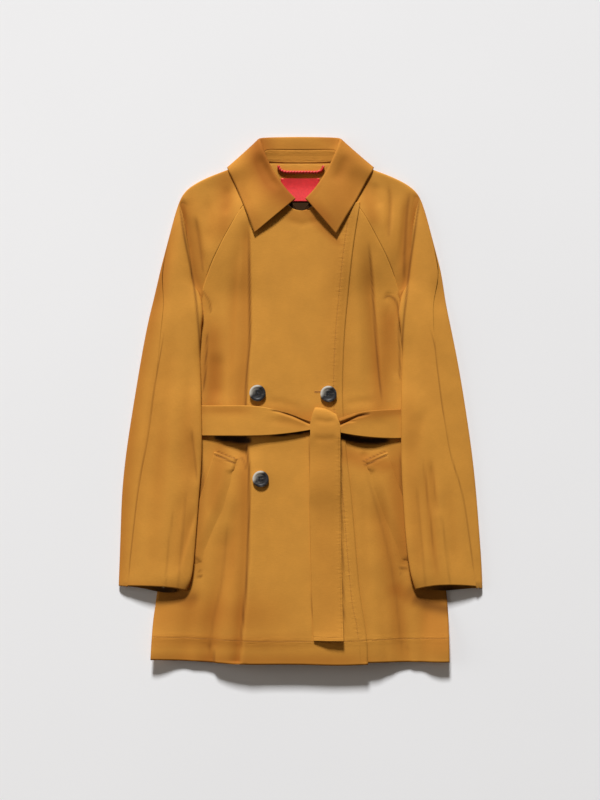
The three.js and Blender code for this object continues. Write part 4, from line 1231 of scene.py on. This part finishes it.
class COAT_OT_collar(bpy.types.Operator):
    """Make the pointed collar and the stand that it rolls over"""

    bl_idname = "coat.collar"
    bl_label = "Collar"

    def execute(self, context):
        collar = cloth_piece("collar", "collar_fall", DOUBLE_WALL, 3)
        settle(collar, COLLAR_FOLDS, wave=0.25, seed=31, upper_only=(14, 20))
        # Painted shade over the collar's soft hollows.
        paint_soft_shade(collar, COLLAR_SHADES)
        mark_stitches(collar)
        finish_piece(collar, material("collar"), "collar")
        stand = cloth_piece("collar_stand", "collar_stand_cloth", 1.6 * MM, 3)
        lengthened(stand, 391, 400, 3.6)
        lengthened(stand, 391, 386, -2.4)
        raise_foot(stand)
        sink(stand, [[-14, 318], [0, 305], [14, 318]], 12, 26)
        # Painted shade, near black, on the ends of the stand deep in the neck.
        paint_neck_shade(stand, 336, 326)
        mark_stitches(stand, [[-70, 403], [70, 403]], [[-70, 388], [70, 388]])
        finish_piece(stand, material("collar"), "collar_stand")
        return {"FINISHED"}


class COAT_OT_neck_inside(bpy.types.Operator):
    """Make the facing inside the back neck, its plain label and the hanger loop"""

    bl_idname = "coat.neck_inside"
    bl_label = "Inside of the neck"

    def execute(self, context):
        facing = cloth_piece("back_facing", "neck_facing", 1.2 * MM, 3)
        lengthened(facing, 364, 377, 8.2)
        sink(facing, [[-80, 386], [80, 386]], 1.1, 9)
        # Painted shade, near black, on the facing deep in the neck.
        paint_neck_shade(facing, 327, 321)
        mark_stitches(facing, [[-70, 382.5], [70, 382.5]])
        finish_piece(facing, material("body"), "back_facing")
        label = cloth_piece("neck_label", "plain_label", 0.8 * MM, 3)
        finish_piece(label, material("label"), "neck_label")
        loop = rounded(as_object(joined_mesh("hanger_loop"), "hanger_cord"), 2)
        finish_piece(loop, material("cord"), "hanger_loop")
        return {"FINISHED"}


class COAT_OT_pockets(bpy.types.Operator):
    """Make the slanted pocket welts"""

    bl_idname = "coat.pockets"
    bl_label = "Pocket welts"

    def execute(self, context):
        for side in ("right", "left"):
            node = f"pocket_welt_{side}"
            welt = cloth_piece(node, f"{node}_cloth", WALL, 3)
            grooves = [trough(row, 1.5, 1.1, fade=(0.04, 0.04)) for row in WELT_ROWS[side]]
            settle(welt, FRONT_FOLDS + grooves, wave=0.15, seed=41)
            sink(welt, WELT_SEAM_RIGHT if side == "right" else WELT_SEAM_LEFT, 4.2, 24, fade=(0.05, 0.0))
            sink(welt, WELT_CORNER_RIGHT if side == "right" else WELT_CORNER_LEFT, 6.0, 12)
            sink(welt, WELT_FOOT_RIGHT if side == "right" else WELT_FOOT_LEFT, 4.0, 20)
            # Painted shade along the welts' stitch rows and over their soft hollows.
            paint_line_shade(welt, [(row, 1.3, 0.75) for row in WELT_ROWS[side]])
            paint_soft_shade(welt, FRONT_SHADES)
            mark_stitches(welt, *WELT_ROWS[side])
            finish_piece(welt, material("body"), node)
            PIECES[node] = welt
        return {"FINISHED"}


class COAT_OT_belt(bpy.types.Operator):
    """Make the tied belt: its band, knot, long tail and short end"""

    bl_idname = "coat.belt"
    bl_label = "Belt"

    def execute(self, context):
        band = cloth_piece("belt_band", "belt_round_waist", DOUBLE_WALL, 4)
        settle(band, BELT_FOLDS, wave=0.12, seed=51, upper_only=(14, 18))
        mark_stitches(band)
        # Painted shade over the band's soft hollows and along its creases.
        paint_soft_shade(band, BELT_SHADES)
        paint_line_shade(band, [(BELT_CREASE_RIGHT, 1.2, 0.8), (BELT_CREASE_LEFT, 1.4, 0.8)])
        finish_piece(band, material("belt"), "belt_band")
        tail = cloth_piece("belt_tail", "belt_tail_cloth", DOUBLE_WALL, 4)
        settle(tail, TAIL_FOLDS, wave=0.15, seed=55, upper_only=(14, 18))
        tilt_tail_end(tail)
        # Painted shade, a little darker over the whole tail.
        paint_soft_shade(tail, TAIL_SHADES)
        mark_stitches(tail, [[8, -380], [80, -380.5]], [[61.5, -60], [63.5, -200], [66, -376]])
        finish_piece(tail, material("body"), "belt_tail")
        end = cloth_piece("belt_end", "belt_short_end", DOUBLE_WALL, 3)
        mark_stitches(end)
        finish_piece(end, material("body"), "belt_end")
        knot = rounded(as_object(joined_mesh("belt_knot"), "belt_knot_cloth"), 2)
        mark_stitches(knot)
        finish_piece(knot, material("body"), "belt_knot")
        return {"FINISHED"}


# A button's turned profile from its rim inwards: (share of the radius, rise in millimetres)
BUTTON_FACE = ((0.02, 0.0), (0.06, 0.35), (0.09, 0.1), (0.1, -0.3), (0.08, -0.85), (0.12, -0.35))
BUTTON_BACK = ((0.05, 0.0), (0.12, 0.0), (0.3, 0.0))
FACE_DISH = 1.6 * MM  # how far the sewing thread lies below the rim
HOLE_PLACE = 0.16  # of the radius, from the middle, each way
HOLE_RADIUS = 0.075  # of the radius
BUTTON_RADIUS = 13 * MM
BUTTON_THREAD = 0.28 * MM
RIM_DIAGONAL = 0.7  # the painted highlight's pale arc lies up and to the left


class COAT_OT_buttons(bpy.types.Operator):
    """Turn the horn buttons: a dished face, a raised rim, four holes and crossed thread"""

    bl_idname = "coat.buttons"
    bl_label = "Buttons"

    def execute(self, context):
        for node in ("button_upper_right", "button_upper_left", "button_lower_right", "button_lower_left"):
            low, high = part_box(node)
            middle = (low + high) / 2
            radius = (high.y - low.y) / 2
            self.turned(node, Vector((middle.x, middle.y, low.z)), radius, high.z - low.z)
            self.sewn(node, middle, high.z - FACE_DISH)
        return {"FINISHED"}

    def turned(self, node, foot, radius, thick):
        bpy.ops.object.select_all(action="DESELECT")
        bpy.ops.mesh.primitive_cylinder_add(vertices=72, radius=radius, depth=thick,
                                            location=foot + Vector((0, 0, thick / 2)))
        button = bpy.context.object
        button.name = f"{node}_horn"
        bpy.ops.object.transform_apply(location=True, rotation=False, scale=False)
        bpy.ops.object.mode_set(mode="EDIT")
        bm = bmesh.from_edit_mesh(button.data)
        for upwards in (True, False):
            cap = next(f for f in bm.faces if len(f.verts) > 4 and (f.normal.z > 0) == upwards)
            bm.select_mode = {"FACE"}
            for f in bm.faces:
                f.select_set(f is cap)
            bm.select_flush_mode()
            bmesh.update_edit_mesh(button.data)
            for inset, rise in BUTTON_FACE if upwards else BUTTON_BACK:
                bpy.ops.mesh.inset(thickness=inset * radius, depth=0)
                bpy.ops.transform.translate(value=(0, 0, rise * MM))
            bm = bmesh.from_edit_mesh(button.data)
        bpy.ops.object.mode_set(mode="OBJECT")
        self.drilled(button, foot, radius, thick)
        only(button)
        bevel = button.modifiers.new("soft edges", "BEVEL")
        bevel.width = 0.25 * MM
        bevel.segments = 2
        bevel.angle_limit = math.radians(32)
        bpy.ops.object.modifier_apply(modifier=bevel.name)
        bpy.ops.object.shade_smooth_by_angle(angle=math.radians(40))
        x, y, _ = points_of(button).T
        out = np.hypot(x - foot.x / MM, y - foot.y / MM) / (radius / MM)
        # Painted highlight: a pale arc on the upper left of the rim.
        lit = (-(x - foot.x / MM) * RIM_DIAGONAL + (y - foot.y / MM) * RIM_DIAGONAL) / (radius / MM)
        set_attribute(button, "rim", smooth((out - 0.4) / 0.3) * smooth((lit - 0.15) / 0.5))
        finish_piece(button, material("horn"), node)

    def drilled(self, button, foot, radius, thick):
        for sx in (-1, 1):
            for sy in (-1, 1):
                bpy.ops.object.select_all(action="DESELECT")
                bpy.ops.mesh.primitive_cylinder_add(
                    vertices=20, radius=HOLE_RADIUS * radius, depth=4 * thick,
                    location=foot + Vector((sx * HOLE_PLACE * radius, sy * HOLE_PLACE * radius, 0)),
                )
                drill = bpy.context.object
                only(button)
                cut = button.modifiers.new("hole", "BOOLEAN")
                cut.operation = "DIFFERENCE"
                cut.object = drill
                cut.solver = "EXACT"
                bpy.ops.object.modifier_apply(modifier=cut.name)
                bpy.data.objects.remove(drill)

    def sewn(self, node, middle, height):
        """Thread crossed through the holes."""
        length = 2 * HOLE_PLACE * BUTTON_RADIUS * 1.35
        bm = bmesh.new()
        for turn, height_over in ((math.pi / 4, 0.3 * MM), (-math.pi / 4, 0.66 * MM)):
            for shift in (-BUTTON_THREAD, BUTTON_THREAD):
                bar = bmesh.ops.create_cone(bm, segments=8, radius1=BUTTON_THREAD, radius2=BUTTON_THREAD,
                                            depth=length, cap_ends=True)
                verts = bar["verts"]
                bmesh.ops.rotate(bm, verts=verts, matrix=Matrix.Rotation(math.pi / 2, 3, "Y"))
                bmesh.ops.translate(bm, verts=verts, vec=(0, shift, height_over))
                bmesh.ops.rotate(bm, verts=verts, matrix=Matrix.Rotation(turn, 3, "Z"))
                bmesh.ops.translate(bm, verts=verts, vec=(middle.x, middle.y, height))
        thread = as_object(bm, f"{node}_thread")
        thread.data.materials.append(material("horn_thread"))
        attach(thread, BODY)


class COAT_OT_stitching(bpy.types.Operator):
    """Sew the visible rows of stitches"""

    bl_idname = "coat.stitching"
    bl_label = "Stitching"

    def execute(self, context):
        ground = surface_of([PIECES["front_right"], PIECES["front_left"]])
        stitches("stitches_front_edge", [edge_row()], ground)
        stitches("stitches_hem", [hem_row(-238, 105), hem_row(112, 236)], ground)
        stitches("stitches_buttonhole", BUTTONHOLE, ground, length=1.9, pitch=0.55, across=True)
        for side, rows in WELT_ROWS.items():
            stitches(f"stitches_welt_{side}", rows, surface_of([PIECES[f"pocket_welt_{side}"]]))
        return {"FINISHED"}


VIEW_WIDTH = 0.972  # what the camera sees across, at the floor, in metres
LENS = 120
SENSOR = 36
# Place, size, watts and colour of each light
LIGHTS = {
    "key": ((-1.8, 24.4, 14.2), (4.6, 4.6), 12500, (0.98, 0.99, 1.01)),
    "side": ((-4.8, 0.6, 1.9), (3.0, 3.0), 52, (1.0, 0.97, 0.93)),
}
ROOM_COLOUR = (1.0, 0.86, 0.73, 1)
ROOM_STRENGTH = 0.11
FLOOR_SIZE = 9
FLOOR_GAP = 0.4 * MM


class COAT_OT_stage(bpy.types.Operator):
    """Set the pale floor, the soft lights and the camera straight above"""

    bl_idname = "coat.stage"
    bl_label = "Stage"

    def execute(self, context):
        bpy.ops.object.select_all(action="DESELECT")
        bpy.ops.mesh.primitive_plane_add(size=FLOOR_SIZE, location=(0, 0, -FLOOR_GAP))
        floor = bpy.context.object
        floor.name = "studio_floor"
        bpy.ops.object.transform_apply(location=True, rotation=False, scale=False)
        floor.data.materials.append(material("floor"))
        self.camera(context)
        for name, settings in LIGHTS.items():
            self.light(name, *settings)
        context.scene.view_settings.view_transform = "Standard"
        world = context.scene.world or bpy.data.worlds.new("soft room")
        context.scene.world = world
        world.use_nodes = True
        room = world.node_tree.nodes["Background"]
        room.inputs["Color"].default_value = ROOM_COLOUR
        room.inputs["Strength"].default_value = ROOM_STRENGTH
        return {"FINISHED"}

    def camera(self, context):
        lens = bpy.data.cameras.new("above")
        lens.sensor_fit = "HORIZONTAL"
        lens.sensor_width = SENSOR
        lens.lens = LENS
        lens.clip_end = 20
        eye = bpy.data.objects.new("above", lens)
        eye.location = (-0.8 * MM, 0.8 * MM, VIEW_WIDTH * LENS / SENSOR)
        context.scene.collection.objects.link(eye)
        context.scene.camera = eye

    def light(self, name, place, size, power, colour):
        lamp = bpy.data.lights.new(name, "AREA")
        lamp.shape = "RECTANGLE"
        lamp.size, lamp.size_y = size
        lamp.energy = power
        lamp.color = colour
        holder = bpy.data.objects.new(name, lamp)
        holder.location = place
        holder.rotation_euler = (-Vector(place)).to_track_quat("-Z", "Y").to_euler()
        bpy.context.scene.collection.objects.link(holder)


class COAT_PT_parts(bpy.types.Panel):
    """Lists the coat's pieces in the sidebar"""

    bl_label = "Trench coat"
    bl_space_type = "VIEW_3D"
    bl_region_type = "UI"
    bl_category = "Coat"

    def draw(self, context):
        for operator in OPERATORS:
            self.layout.operator(operator.bl_idname)
        for group in (context.scene.coat_sizes, context.scene.coat_colours):
            for name in group.__annotations__:
                self.layout.prop(group, name)


OPERATORS = (
    COAT_OT_back,
    COAT_OT_fronts,
    COAT_OT_sleeves,
    COAT_OT_collar,
    COAT_OT_neck_inside,
    COAT_OT_pockets,
    COAT_OT_belt,
    COAT_OT_buttons,
    COAT_OT_stitching,
    COAT_OT_stage,
)
CLASSES = (CoatSizes, CoatColours, *OPERATORS, COAT_PT_parts)


def register():
    for cls in CLASSES:
        bpy.utils.register_class(cls)
    bpy.types.Scene.coat_sizes = PointerProperty(type=CoatSizes)
    bpy.types.Scene.coat_colours = PointerProperty(type=CoatColours)


def unregister():
    del bpy.types.Scene.coat_colours
    del bpy.types.Scene.coat_sizes
    for cls in reversed(CLASSES):
        bpy.utils.unregister_class(cls)


def main():
    register()
    bpy.ops.coat.back()
    bpy.ops.coat.fronts()
    bpy.ops.coat.sleeves()
    bpy.ops.coat.collar()
    bpy.ops.coat.neck_inside()
    bpy.ops.coat.pockets()
    bpy.ops.coat.belt()
    bpy.ops.coat.buttons()
    bpy.ops.coat.stitching()
    bpy.ops.coat.stage()


if __name__ == "__main__":
    main()
